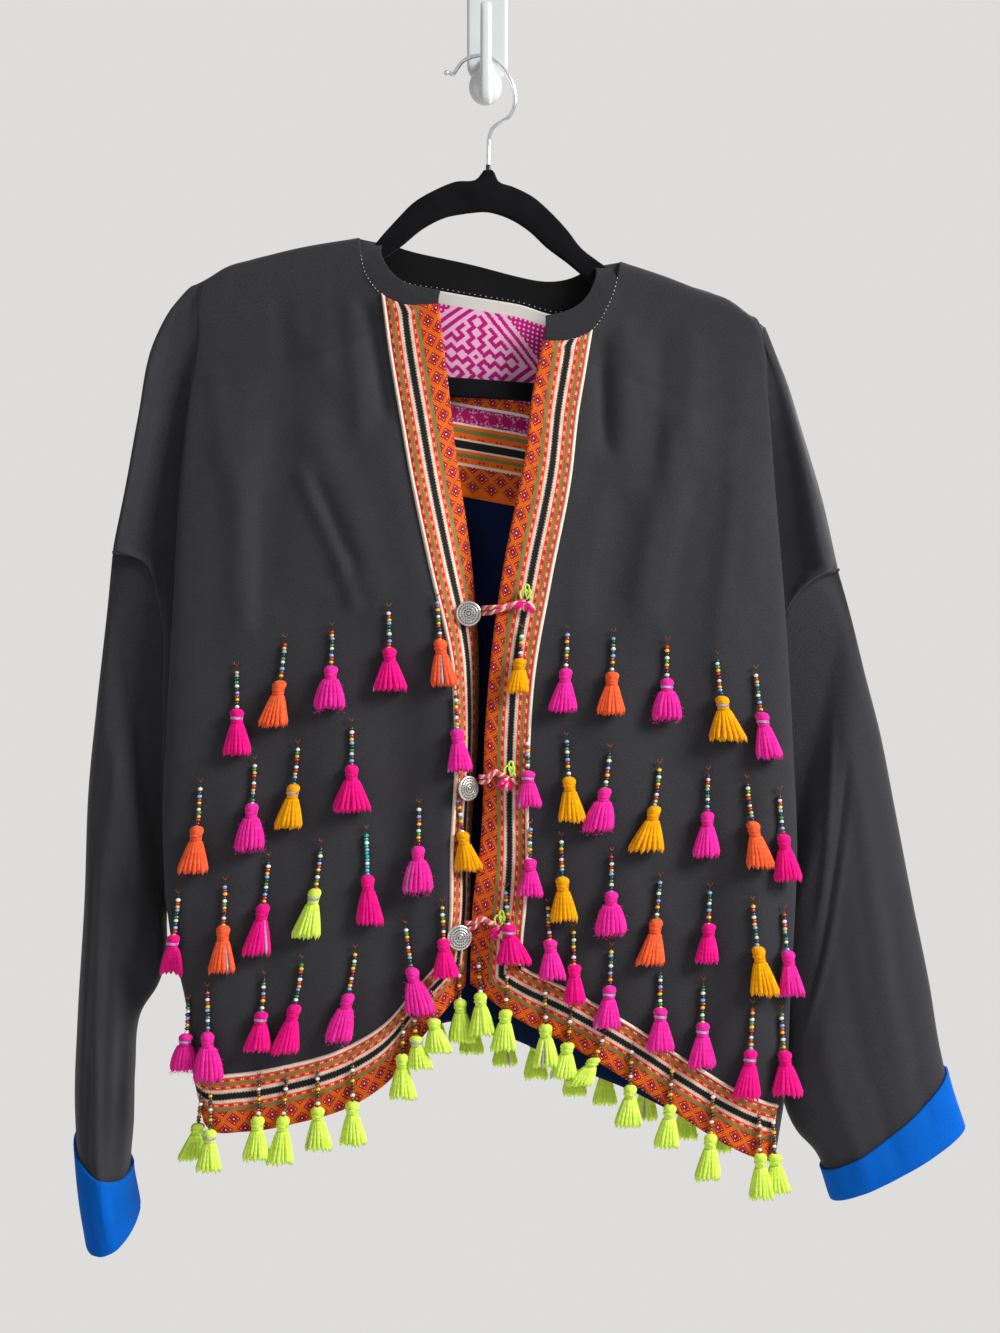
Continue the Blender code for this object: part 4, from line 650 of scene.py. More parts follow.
class Sleeve:
    """A sleeve from its armhole seam to the end inside the cuff."""

    def __init__(self, front: Front, back: Back, rings: Table, cuff_start: float,
                 creases: Table, seed: float) -> None:
        """Take a sleeve's rings and creases."""
        self.front = front
        self.back = back
        self.outer = Track([ring[0:2] for ring in rings])
        self.inner = Track([ring[2:4] for ring in rings])
        last = len(rings) - 1
        self.form = Rows([(index / last,) + ring[4:] for index, ring in enumerate(rings)])
        self.cuff_start = cuff_start
        self.creases = creases
        self.seed = seed

    def crease(self, share: float, t: float) -> float:
        """Height of the creases at a share across and along."""
        height = 0.0
        for across_a, along_a, across_b, along_b, half, rise in self.creases:
            part = (t - along_a) / (along_b - along_a)
            if -0.3 < part < 1.3:
                away = share - blend(across_a, across_b, part)
                ends = ease((part + 0.2) / 0.4) * ease((1.2 - part) / 0.4)
                height += rise * ends * math.exp(-(away / half) ** 2)
        return height

    def ring_point(self, angle: float, t: float) -> Vector:
        """Point of the flattened ring at a share of the sleeve's length."""
        front, back, sag = self.form.at(t)
        share = (1 - math.cos(angle)) / 2
        flat = blend(self.outer.at(t), self.inner.at(t), share)
        swell = math.sin(angle)
        reach = abs(swell) ** 0.85
        small = self.crease(share, t) + 0.6 * unevenness(flat.x, flat.y, self.seed)
        small *= ease(abs(swell) / 0.7)
        if swell > 0:
            depth = blend(SHOULDER_DEPTH, front, reach) - small
        else:
            depth = blend(SHOULDER_DEPTH, back, reach) + 0.35 * small
        return Vector((flat.x, depth, flat.y - sag * swell))

    def seam_point(self, share: float, side: float) -> Vector:
        """Point of the armhole seam, on the front's side (1) or the back's (0)."""
        seam = self.front.outer
        v = blend(seam.corner(0), seam.corner(1), share)
        place = seam.at(v)
        depth = blend(self.back.rim(seam, v), self.front.seam_depth(v), side)
        return Vector((place.x, depth, place.y))

    def places(self) -> list[tuple[float, float, float]]:
        """Around a ring: share of the way to the inner side, front or back, and angle."""
        shares = [(1 - math.cos(math.pi * index / FINE_RING)) / 2
                  for index in range(FINE_RING + 1)]
        result = []
        for share in shares[:-1]:
            side = 0.5 + 0.5 * ease(share / 0.08) * ease((1 - share) / 0.08)
            result.append((share, side, math.acos(1 - 2 * share)))
        for share in shares[:0:-1]:
            side = 0.5 - 0.5 * ease(share / 0.08) * ease((1 - share) / 0.08)
            result.append((share, side, math.tau - math.acos(1 - 2 * share)))
        return result + [(0.0, 0.5, math.tau)]

    def line(self, t: float) -> list[Vector]:
        """One ring of points, closed by a repeat of the first.

        Args:
            t: Share of the sleeve's length.

        Returns:
            The ring's points.
        """
        points = []
        for share, side, angle in self.places():
            ring = self.ring_point(angle, max(t, 0.01))
            seam = self.seam_point(share, side)
            away = ring - seam
            if t == 0:
                nearby = share - 0.01 if share > 0.5 else share + 0.01
                tangent = self.seam_point(nearby, side) - seam
                away -= away.project(tangent)
                place = seam + away.normalized() * SLEEVE_SEAM * 0.3
            else:
                place = seam + away * ease(0.15 + t / SETTLED)
                place.y = blend(seam.y, ring.y, ease(t / SWELLED))
            points.append(place)
        return points


def normals(grid: Grid, facing: Optional[Vector] = None) -> Grid:
    """Offsets that move a grid out by 1: open grids by facing, rings outwards.

    Args:
        grid: Rows of points.
        facing: The side that an open grid faces, or None for rings.

    Returns:
        One offset for each point.
    """
    rows = len(grid)
    columns = len(grid[0])
    facets = []
    for row in range(rows - 1):
        line = []
        middle = sum(grid[row][:-1], Vector()) / (columns - 1)
        for column in range(columns - 1):
            across = grid[row][column + 1] - grid[row + 1][column]
            down = grid[row + 1][column + 1] - grid[row][column]
            normal = across.cross(down).normalized()
            towards = facing if facing is not None else grid[row][column] - middle
            if normal.dot(towards) < 0:
                normal.negate()
            line.append(normal)
        facets.append(line)
    result = []
    for row in range(rows):
        line = []
        for column in range(columns):
            beside = (column - 1, column)
            if facing is None:
                beside = ((column - 1) % (columns - 1), column % (columns - 1))
            total = Vector()
            for facet_row in (row - 1, row):
                for facet_column in beside:
                    if 0 <= facet_row < rows - 1 and 0 <= facet_column < columns - 1:
                        total += facets[facet_row][facet_column]
            line.append(total.normalized())
        result.append(line)
    return result


def lifted(grid: Grid, directions: Grid, distance: float) -> Grid:
    """Grid moved out along its normals."""
    return [[point + normal * distance for point, normal in zip(line, normal_line)]
            for line, normal_line in zip(grid, directions)]


def cut_out(grid: Grid, rows: slice, columns: slice) -> Grid:
    """Part of a grid: a slice of its rows and a slice of its columns."""
    return [line[columns] for line in grid[rows]]


def reaches(points: Line, origin: int = 0) -> list[float]:
    """Signed lengths along a line of points, from one of them."""
    total = [0.0]
    for start, end in zip(points, points[1:]):
        total.append(total[-1] + (end - start).length)
    return [value - total[origin] for value in total]


def mean_reaches(lines: Sequence[Line], origin: int = 0) -> list[float]:
    """Signed lengths along several lines, averaged."""
    found = [reaches(line, origin) for line in lines]
    return [sum(values) / len(values) for values in zip(*found)]


@dataclass
class Chart:
    """Where each point of a grid lies on its flat cloth, in millimetres."""

    across: list[list[float]]
    down: list[list[float]]

    @classmethod
    def of(cls, grid: Grid, row: int = 0, column: int = 0, even_across: bool = False,
           even_down: bool = True) -> "Chart":
        """Measure a grid.

        Args:
            grid: Rows of points.
            row: Row at which down is 0.
            column: Column at which across is 0.
            even_across: Whether a column has the same across on all rows.
            even_down: Whether a row has the same down on all columns.

        Returns:
            The chart.
        """
        rows = grid[::max(1, len(grid) // 9)]
        mean_across = mean_reaches(rows, column)
        across = [mean_across if even_across else reaches(line, column) for line in grid]
        lines = list(zip(*grid))
        mean_down = mean_reaches(lines[::max(1, len(lines) // 9)], row)
        downs = [mean_down if even_down else reaches(line, row) for line in lines]
        return cls(across, [list(line) for line in zip(*downs)])

    def turned(self, shift: float = 0.0) -> "Chart":
        """Chart with across mirrored and moved."""
        return Chart([[shift - value for value in line] for line in self.across], self.down)


def loft(shape: Mesh, grid: Grid, chart: Chart, closed: bool = False, tips: bool = False,
         slot: int = 0) -> list:
    """Add a smooth skin over rows of points.

    Args:
        shape: The mesh to add to.
        grid: Rows of points in millimetres.
        chart: Places on the flat cloth.
        closed: Whether each row is a ring that repeats its first point.
        tips: Whether the first and last rings draw together into points.
        slot: Material slot.

    Returns:
        The faces.
    """
    layer = shape.loops.layers.uv.verify()
    width = len(grid[0])
    made = bmesh.ops.create_grid(shape, x_segments=width - 1, y_segments=len(grid) - 1,
                                 size=1.0, calc_uvs=True)["verts"]
    places = {}
    for index, vertex in enumerate(made):
        row, column = divmod(index, width)
        vertex.co = grid[row][column] * MM
        places[vertex] = (row, column)
    faces = list({face for vertex in made for face in vertex.link_faces})
    for face in faces:
        face.material_index = slot
        face.smooth = True
        for loop in face.loops:
            row, column = places[loop.vert]
            loop[layer].uv = (chart.across[row][column], chart.down[row][column])
    if closed:
        pairs = {made[row * width + width - 1]: made[row * width] for row in range(len(grid))}
        bmesh.ops.weld_verts(shape, targetmap=pairs)
    if tips:
        for row in (0, len(grid) - 1):
            ring = made[row * width:row * width + width - 1]
            middle = sum((vertex.co for vertex in ring), Vector()) / len(ring)
            bmesh.ops.pointmerge(shape, verts=ring, merge_co=middle)
    return [face for face in faces if face.is_valid]


def tube_rings(points: Line, radii: Sequence[float], sides: int) -> Grid:
    """Rings of points round a line."""
    rings = []
    for index, (point, radius) in enumerate(zip(points, radii)):
        before = points[max(index - 1, 0)]
        after = points[min(index + 1, len(points) - 1)]
        along = (after - before).normalized()
        guide = Vector((0, 1, 0)) if abs(along.y) < 0.8 else Vector((1, 0, 0))
        side = along.cross(guide).normalized()
        front = along.cross(side)
        ring = []
        for step in range(sides + 1):
            angle = math.tau * (step % sides) / sides
            ring.append(point + (side * math.cos(angle) + front * math.sin(angle)) * radius)
        rings.append(ring)
    return rings


def tube(shape: Mesh, points: Line, radii: Sequence[float],
         sides: int, slot: int = 0) -> list:
    """Add a closed tube with drawn-in tips along a line of points.

    Args:
        shape: The mesh to add to.
        points: The line, in millimetres.
        radii: Radius at each point.
        sides: Sides of the tube.
        slot: Material slot.

    Returns:
        The faces.
    """
    across = [math.tau * max(radii) * step / sides for step in range(sides + 1)]
    chart = Chart([across] * len(points), [[down] * (sides + 1) for down in reaches(points)])
    return loft(shape, tube_rings(points, radii, sides), chart, closed=True, tips=True,
                slot=slot)


def move(shape: Mesh, verts: Sequence, place: Sequence[float]) -> None:
    """Move points of a mesh by millimetres."""
    bmesh.ops.translate(shape, verts=verts, vec=Vector(place) * MM)


def smooth(shape: Mesh) -> None:
    """Shade a whole mesh smoothly."""
    for face in shape.faces:
        face.smooth = True


def modify(item: Item, name: str, kind: str, **facts) -> None:
    """Give a piece a modifier.

    Args:
        item: The piece.
        name: Name of the modifier.
        kind: Its type.
        facts: What is set on it.
    """
    made = item.modifiers.new(name, kind)
    for fact, value in facts.items():
        setattr(made, fact, value)


def new_piece(name: str, shape: Mesh, finishes: Sequence[Material],
              nodes: Sequence[str] = ()) -> Item:
    """Make a piece of a mesh, attach it to the body and report it.

    Args:
        name: Name of the piece.
        shape: Its mesh, which is freed.
        finishes: Materials, in the order of the slots.
        nodes: CAD nodes that it stands for.

    Returns:
        The object.
    """
    mesh = bpy.data.meshes.new(name)
    shape.to_mesh(mesh)
    shape.free()
    for finish in finishes:
        mesh.materials.append(finish)
    item = bpy.data.objects.new(name, mesh)
    bpy.context.scene.collection.objects.link(item)
    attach(item, BODY)
    if nodes:
        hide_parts(*nodes)
    LOG.info("%s: %d faces", name, len(mesh.polygons))
    return item


def sheet_area(grid: Grid) -> float:
    """Area of a grid's facets, in square millimetres."""
    total = 0.0
    for upper, lower in zip(grid, grid[1:]):
        for column in range(len(upper) - 1):
            first = upper[column + 1] - lower[column]
            second = lower[column + 1] - upper[column]
            total += first.cross(second).length / 2
    return total


@dataclass
class Cloth:
    """A sheet of cloth: its middle surface, its chart and how it hangs."""

    name: str
    node: str
    grid: Grid
    chart: Chart
    thickness: float
    finish: Material
    inside: Optional[Material] = None
    facing: Optional[Vector] = None
    rests_on: tuple[str, ...] = ("hanger",)
    item: Optional[Item] = None

    def build(self) -> "Cloth":
        shape = bmesh.new()
        faces = loft(shape, self.grid, self.chart, closed=self.facing is None)
        shape.normal_update()
        if self.facing is not None:
            total = sum(face.normal.dot(self.facing) for face in faces)
        else:
            middle = sum((vertex.co.y for vertex in shape.verts), 0.0) / len(shape.verts)
            total = sum(face.normal.y * (face.calc_center_median().y - middle)
                        for face in faces)
        if total < 0:
            bmesh.ops.reverse_faces(shape, faces=shape.faces)
        finishes = [self.finish, self.inside] if self.inside else [self.finish]
        item = new_piece(self.name, shape, finishes, [self.node])
        modify(item, "wall", "SOLIDIFY", thickness=self.thickness * MM, offset=0.0,
               material_offset=1 if self.inside else 0)
        self.item = item
        self.declare()
        return self

    def declare(self) -> None:
        """Work out how large the cloth was cut; the sizes are not passed on."""
        width = max(reaches(line)[-1] for line in self.grid) * MM
        found = [reaches(line)[-1] for line in list(zip(*self.grid))[::6]]
        length = (max(found) if self.facing else sum(found) / len(found)) * MM
        area = sheet_area(self.grid) * MM * MM
        width = min(width, area / (0.5 * length))
        area = min(area, width * length)


def shade(code: str) -> tuple[float, float, float, float]:
    """Linear colour from its usual six-digit code."""
    values = [int(code[place:place + 2], 16) / 255 for place in (0, 2, 4)]
    linear = [value / 12.92 if value <= 0.04045 else ((value + 0.055) / 1.055) ** 2.4
              for value in values]
    return (linear[0], linear[1], linear[2], 1.0)


def step(operation: str) -> Callable[..., "Val"]:
    """Method of a Val that does one step of arithmetic with other terms."""
    def method(value: "Val", *others: Union["Val", float]) -> "Val":
        """Result of the step."""
        return value.do(operation, *others)

    return method


class Val:
    """A number that changes over a surface, written as arithmetic."""

    def __init__(self, tree: Tree, socket: Socket) -> None:
        """Keep the socket that gives the number."""
        self.tree = tree
        self.socket = socket

    def do(self, operation: str, *others: Union["Val", float]) -> "Val":
        """Result of one step of arithmetic.

        Args:
            operation: The step's name.
            others: Its other terms.

        Returns:
            The result.
        """
        node = self.tree.nodes.new("ShaderNodeMath")
        node.operation = operation
        for index, term in enumerate((self, *others)):
            if isinstance(term, Val):
                self.tree.links.new(term.socket, node.inputs[index])
            else:
                node.inputs[index].default_value = term
        return Val(self.tree, node.outputs[0])

    __add__ = step("ADD")
    __sub__ = step("SUBTRACT")
    __mul__ = step("MULTIPLY")
    __truediv__ = step("DIVIDE")
    size = step("ABSOLUTE")
    over = step("GREATER_THAN")
    under = step("LESS_THAN")
    least = step("MINIMUM")
    most = step("MAXIMUM")
    floor = step("FLOOR")
    sine = step("SINE")
    root = step("SQRT")

    def wrapped(self, period: float) -> "Val":
        """Distance from the middle of a repeat."""
        return self.do("WRAP", period / 2, -period / 2)

    def flip(self) -> "Val":
        """One less the value."""
        return (self * -1.0) + 1.0


Term = Union[Val, Socket]
Colour = Union[str, Socket]


class Graph:
    """Nodes of a material or group."""

    def __init__(self, tree: Tree) -> None:
        """Keep the tree."""
        self.tree = tree

    def node(self, kind: str, **facts) -> bpy.types.Node:
        """New node with some of its facts set."""
        made = self.tree.nodes.new(kind)
        for name, value in facts.items():
            setattr(made, name, value)
        return made

    def link(self, start: Term, end: Socket) -> None:
        """Join a value or socket to a socket."""
        self.tree.links.new(start.socket if isinstance(start, Val) else start, end)

    def feed(self, socket: Socket, term: Colour) -> None:
        """Give a colour socket a colour code or another socket."""
        if isinstance(term, str):
            socket.default_value = shade(term)
        else:
            self.link(term, socket)

    def mix(self, share: Val, start: Colour, end: Colour) -> Socket:
        """Colour between two others.

        Args:
            share: 0 at the first and 1 at the second.
            start: Colour code or socket.
            end: Colour code or socket.

        Returns:
            The mixed colour.
        """
        made = self.node("ShaderNodeMix", data_type="RGBA")
        self.link(share, made.inputs["Factor"])
        colours = [socket for socket in made.inputs if socket.type == "RGBA"]
        self.feed(colours[0], start)
        self.feed(colours[1], end)
        return next(socket for socket in made.outputs if socket.type == "RGBA")

    def stripes(self, place: Val, rows: Table) -> Socket:
        """Colour of rows that follow each other.

        Args:
            place: Distance across the rows.
            rows: Far edge of each row and its colour.

        Returns:
            The colour.
        """
        colour = rows[0][1]
        for (edge, _), (_, following) in zip(rows, rows[1:]):
            colour = self.mix(place.over(edge), colour, following)
        return colour

    def chart(self) -> tuple[Val, Val]:
        """Places across and along the flat cloth, in millimetres."""
        parts = self.node("ShaderNodeSeparateXYZ")
        self.link(self.node("ShaderNodeUVMap").outputs["UV"], parts.inputs[0])
        return Val(self.tree, parts.outputs["X"]), Val(self.tree, parts.outputs["Y"])

    def vector(self, across: Val, along: Val) -> Socket:
        """Vector of two numbers."""
        joined = self.node("ShaderNodeCombineXYZ")
        for index, term in enumerate((across, along)):
            self.link(term, joined.inputs[index])
        return joined.outputs[0]

    def noise(self, vector: Socket, scale: float, detail: float = 2.0) -> Val:
        """Cloudy value about 0.5."""
        made = self.node("ShaderNodeTexNoise")
        made.inputs["Scale"].default_value = scale
        made.inputs["Detail"].default_value = detail
        self.link(vector, made.inputs["Vector"])
        return Val(self.tree, made.outputs[0])

    def place(self) -> Socket:
        """Place on the object."""
        return self.node("ShaderNodeTexCoord").outputs["Object"]

    def effect(self, group: Tree, **terms: Union[Val, float]) -> bpy.types.Node:
        """Use of an effect, with its inputs joined or set.

        Args:
            group: The effect.
            terms: Values or numbers by input name.

        Returns:
            The node.
        """
        made = self.node("ShaderNodeGroup", node_tree=group)
        for name, term in terms.items():
            if isinstance(term, Val):
                self.link(term, made.inputs[name])
            else:
                made.inputs[name].default_value = term
        return made

    def bump(self, shader: bpy.types.Node, height: Term, strength: float,
             distance: float) -> None:
        """Raise the surface by a height in a material."""
        made = self.node("ShaderNodeBump")
        made.inputs["Strength"].default_value = strength
        made.inputs["Distance"].default_value = distance
        self.link(height, made.inputs["Height"])
        self.link(made.outputs["Normal"], shader.inputs["Normal"])


def new_effect(name: str, inputs: Iterable[str], outputs: dict[str, str]) -> tuple:
    """Start a shared effect.

    Args:
        name: Its name.
        inputs: Names of its numbers.
        outputs: Kind of each output by name.

    Returns:
        The group, its graph, its input values and its output node.
    """
    group = bpy.data.node_groups.new(name, "ShaderNodeTree")
    for title in inputs:
        group.interface.new_socket(name=title, in_out="INPUT", socket_type="NodeSocketFloat")
    for title, kind in outputs.items():
        group.interface.new_socket(name=title, in_out="OUTPUT", socket_type=kind)
    graph = Graph(group)
    source = graph.node("NodeGroupInput")
    end = graph.node("NodeGroupOutput")
    return group, graph, [Val(group, source.outputs[title]) for title in inputs], end


FLOAT = "NodeSocketFloat"
COLOUR = "NodeSocketColor"


def weave_effect() -> Tree:
    """Fine diagonal weave with crepe-like mottling."""
    group, graph, (across, along, pitch), end = new_effect(
        "weave", ("Across", "Along", "Pitch"), {"Height": FLOAT, "Mottle": FLOAT})
    ribs = ((across + along) * math.tau / pitch).sine()
    threads = ((across - along * 0.35) * math.tau / pitch * 1.7).sine()
    place = graph.vector(across, along)
    crepe = graph.noise(place, 0.9, 3.0)
    cloud = graph.noise(place, 0.07, 4.0)
    graph.link(ribs * 0.18 + threads * 0.08 + crepe * 0.9, end.inputs["Height"])
    graph.link(crepe * 0.8 + cloud * 0.2, end.inputs["Mottle"])
    return group


def flower_effect() -> Tree:
    """One column of four-petal flowers, with halves between them at both edges."""
    group, graph, (across, along, period), end = new_effect(
        "flowers", ("Across", "Along", "Period"), {"Color": COLOUR, "Height": FLOAT})
    wobble = graph.noise(graph.vector(across, along), 0.8, 1.0) - 0.5
    colour = graph.mix((wobble + 0.5), "f9620c", "ff7d18")
    run = ((along / period + wobble * 0.04).wrapped(1.0) * 13.6).size()
    for centre, away in ((6.4, run), (13.9, run * -1.0 + 6.8), (-1.1, run * -1.0 + 6.8)):
        side = (across - centre + wobble * 0.7).size()
        reach = side + away
        colour = graph.mix((reach - 6.2).size().under(0.28), colour, "a8481a")
        colour = graph.mix(reach.under(5.0), colour, "e2432a")
        colour = graph.mix((reach - 4.5).size().under(0.55), colour, "86101c")
        petals = (side - away).size().over(0.4) * reach.under(3.4)
        colour = graph.mix(petals, colour, "c41a30")
        tips = ((side - 3.1).size() + away).least((away - 3.2).size() + side)
        colour = graph.mix(tips.under(0.45), colour, "f2dccb")
        heart = (side * side + away * away).root()
        colour = graph.mix(heart.under(1.6), colour, "400a14")
        colour = graph.mix(heart.under(0.7), colour, "f7c8cc")
    graph.link(colour, end.inputs["Color"])
    ribs = (along * math.tau / 0.8).sine()
    graph.link(ribs * 0.3 + wobble, end.inputs["Height"])
    return group


def fibre_effect() -> Tree:
    """Twisted wool fibres along a yarn."""
    group, graph, (across, along), end = new_effect(
        "fibre", ("Across", "Along"), {"Height": FLOAT, "Shade": FLOAT})
    place = graph.vector(across * 1.0 + along * 0.55, along * 0.22)
    strands = graph.noise(place, 1.9, 3.0)
    twist = ((across * 1.3 + along * 1.6)).sine()
    graph.link(strands + twist * 0.1, end.inputs["Height"])
    graph.link(strands * 0.75 + twist * 0.04 + 0.12, end.inputs["Shade"])
    return group


class Effects:
    """Shared effects, made once."""

    def __init__(self) -> None:
        """Make them."""
        self.weave = weave_effect()
        self.flowers = flower_effect()
        self.fibre = fibre_effect()


@dataclass(frozen=True)
class Finish:
    """What every finish has: a name, a colour, gloss and sheen."""

    name: str
    colour: str
    roughness: float = 0.8
    metallic: float = 0.0
    sheen: float = 0.0
    coat: float = 0.0
    specular: float = 0.5

    def start(self) -> tuple[Material, Graph, bpy.types.Node]:
        """New material with the constants set on its shader."""
        material = bpy.data.materials.new(self.name)
        material.use_nodes = True
        shader = material.node_tree.nodes["Principled BSDF"]
        shader.inputs["Base Color"].default_value = shade(self.colour)
        shader.inputs["Roughness"].default_value = self.roughness
        shader.inputs["Metallic"].default_value = self.metallic
        shader.inputs["Sheen Weight"].default_value = self.sheen
        shader.inputs["Sheen Roughness"].default_value = 0.4
        shader.inputs["Coat Weight"].default_value = self.coat
        shader.inputs["Specular IOR Level"].default_value = self.specular
        return material, Graph(material.node_tree), shader


@dataclass(frozen=True)
class Woven(Finish):
    """Plain cloth with a visible weave."""

    pale: str = "46464b"
    dark: str = "232327"
    pitch: float = 1.3
    relief: float = 0.5

    def make(self, effects: Effects) -> Material:
        """Material of the cloth."""
        material, graph, shader = self.start()
        across, along = graph.chart()
        weave = graph.effect(effects.weave, Across=across, Along=along, Pitch=self.pitch)
        mottle = Val(graph.tree, weave.outputs["Mottle"])
        share = ((mottle - 0.5) * 2.4 + 0.5).most(0.0).least(1.0)
        graph.link(graph.mix(share, self.dark, self.pale), shader.inputs["Base Color"])
        graph.bump(shader, weave.outputs["Height"], self.relief, 0.0004)
        return material


@dataclass(frozen=True)
class Ribbon(Finish):
    """Rows of ribbons, measured in millimetres from the band's outer edge."""

    def make(self, effects: Effects) -> Material:
        """Material of the bands, with its mitred corners."""
        material, graph, shader = self.start()
        first, second = graph.chart()
        place = first.most(second)
        along = first.least(second)
        jitter = graph.noise(graph.vector(first, second), 0.5, 1.0) - 0.5
        place = place + jitter * 0.5
        small = self.small_flowers(graph, place - 1.4, along)
        middle = self.small_flowers(graph, place - 6.6, along + 3.6)
        inner = self.small_flowers(graph, place - 19.9, along)
        wide = graph.effect(effects.flowers, Across=place - 24.2, Along=along, Period=14.6)
        stitches = along.wrapped(2.2).size().under(0.5)
        edge = ((place - 13.25).size() - 2.35).size().under(0.42)
        black = graph.mix(stitches * edge, "141313", "b9a28c")
        rows = [(2.8, small), (4.9, "7d8750"), (8.2, middle), (10.6, "f4dccb"), (15.9, black),
                (18.2, "f4dccb"), (21.6, inner), (24.2, "7d8750"), (99.0, wide.outputs["Color"])]
        colour = graph.stripes(place, rows)
        worn = graph.noise(graph.vector(first, second), 0.12, 3.0)
        dull = graph.node("ShaderNodeMix", data_type="RGBA", blend_type="MULTIPLY")
        dull.inputs["Factor"].default_value = 1.0
        sockets = [socket for socket in dull.inputs if socket.type == "RGBA"]
        graph.link(colour, sockets[0])
        graph.link(graph.mix((worn - 0.3) * 2.2, "d6cfcb", "ffffff"), sockets[1])
        graph.link(next(socket for socket in dull.outputs if socket.type == "RGBA"),
                   shader.inputs["Base Color"])
        seams = self.seam_height(place, [edge for edge, _ in rows[:-1]])
        graph.bump(shader, seams + Val(graph.tree, wide.outputs["Height"]) * 0.35, 0.6, 0.0006)
        return material

    @staticmethod
    def small_flowers(graph: Graph, side: Val, along: Val) -> Socket:
        """Row of small red flowers with white dots on orange."""
        run = along.wrapped(7.3)
        blob = (side * side * 1.3 + run * run * 0.45).root()
        colour = graph.mix(blob.under(1.4), "fb6a14", "df3843")
        dots = (run.size() - 2.9).size() + side.size()
        colour = graph.mix(dots.under(0.55), colour, "fdf0e6")
        return graph.mix(blob.under(0.42), colour, "5c1018")

    @staticmethod
    def seam_height(place: Val, edges: Sequence[float]) -> Val:
        """Raised rows with sunken seams between them."""
        total = None
        for edge in edges:
            groove = (place - edge).size().under(0.28)
            total = groove if total is None else total.most(groove)
        return total * -1.0


@dataclass(frozen=True)
class Maze(Finish):
    """Maze of squared spirals above rows of ribbon, on the inside of the back."""

    centre_down: float = 47.0
    cell: float = 3.0
    rows: tuple = ("1", "00", "110", "0100", "01110", "000100", "1101110", "01000100",
                   "011101110")

    def make(self, effects: Effects) -> Material:
        """Material of the neck panel."""
        material, graph, shader = self.start()
        across, down = graph.chart()
        jitter = graph.noise(graph.vector(across, down), 0.9, 2.0) - 0.5
        x = across + jitter * 2.2
        y = down - self.centre_down - jitter * 2.2
        first = ((x + y) / (self.cell * math.sqrt(2))).size()
        second = ((x - y) / (self.cell * math.sqrt(2))).size()
        far = (first.most(second) + 0.5).floor()
        near = (first.least(second) + 0.5).floor()
        mask = None
        for index, bits in enumerate(self.rows):
            term = (far - float(index)).size().under(0.5) * float(int(bits[::-1], 2))
            mask = term if mask is None else mask + term
        halved = mask / (near * math.log(2.0)).do("EXPONENT") + 0.001
        figure = halved.floor().do("MODULO", 2.0).over(0.5)
        chevrons = far.do("MODULO", 2.0).under(0.5) * far.over(8.5)
        dots = (across.wrapped(3.6).size() + down.wrapped(3.6).size()).under(1.1)
        corner = far.over(13.5)
        magenta = figure.most(chevrons) * corner.flip() + corner * dots.flip()
        maze = graph.mix(magenta, "eab2ce", "bb0677")
        flowers = graph.effect(effects.flowers, Across=down - 75.4, Along=across, Period=11.0)
        lower = graph.effect(effects.flowers, Across=down - 136.9, Along=across, Period=14.6)
        run = across.wrapped(10.6)
        side = down - 95.0
        flecks = graph.noise(graph.vector(across, down), 0.55, 1.0).over(0.47)
        dotted = graph.mix(flecks, "dc8fb2", "aa0f62")
        dotted = graph.mix((run * run + side * side).root().under(4.0), dotted, "ae0f5c")
        bead_run = (across.wrapped(14.0).size() - 1.6).size()
        beads = graph.mix((bead_run + (down - 113.0).size()).under(1.3), "fb6a14", "c9252b")
        bars = graph.mix((bead_run + (down - 131.0).size()).under(1.3), "fb6a14", "c9252b")
        colour = graph.stripes(down + jitter * 0.5, [
            (10.0, "d3cec6"), (77.6, maze), (86.1, flowers.outputs["Color"]), (88.3, "efe8e0"),
            (101.7, dotted), (103.3, "efe8e0"), (106.0, "fb6a14"), (109.4, "6f8148"),
            (113.9, beads), (115.6, "f0dcc8"), (121.8, "161414"), (123.3, "f0dcc8"),
            (125.8, "fb6a14"), (128.8, "6f8148"), (133.3, bars), (135.5, "f0dcc8"),
            (400.0, lower.outputs["Color"])])
        graph.link(colour, shader.inputs["Base Color"])
        threads = (across * math.tau / 0.9).sine() * (down * math.tau / 0.9).sine()
        graph.bump(shader, threads * 0.3 + jitter, 0.5, 0.0005)
        return material


@dataclass(frozen=True)
class Wool(Finish):
    """Brushed wool yarn."""

    pale: str = "ffffff"
    dark: str = "000000"

    def make(self, effects: Effects) -> Material:
        """Material of the yarn."""
        material, graph, shader = self.start()
        across, along = graph.chart()
        fibre = graph.effect(effects.fibre, Across=across, Along=along)
        cloud = graph.noise(graph.place(), 160.0, 2.0)
        share = Val(graph.tree, fibre.outputs["Shade"]) * 0.7 + cloud * 0.3
        share = ((share - 0.5) * 3.0 + 0.5).most(0.0).least(1.0)
        graph.link(graph.mix(share, self.dark, self.pale), shader.inputs["Base Color"])
        graph.bump(shader, fibre.outputs["Height"], 0.55, 0.0007)
        return material


@dataclass(frozen=True)
class Smooth(Finish):
    """Moulded, glazed or metal surface with faint handling marks."""

    worn: str = "808080"
    grain: float = 240.0
    relief: float = 0.05
    gloss_spread: float = 0.1

    def make(self, effects: Effects) -> Material:
        """Material of the surface."""
        material, graph, shader = self.start()
        cloud = graph.noise(graph.place(), self.grain, 3.0)
        share = ((cloud - 0.5) * 2.4 + 0.4).most(0.0).least(1.0)
        graph.link(graph.mix(share, self.colour, self.worn), shader.inputs["Base Color"])
        gloss = (cloud - 0.5) * self.gloss_spread * 2.0 + self.roughness
        graph.link(gloss, shader.inputs["Roughness"])
        graph.bump(shader, cloud, self.relief, 0.0003)
        return material


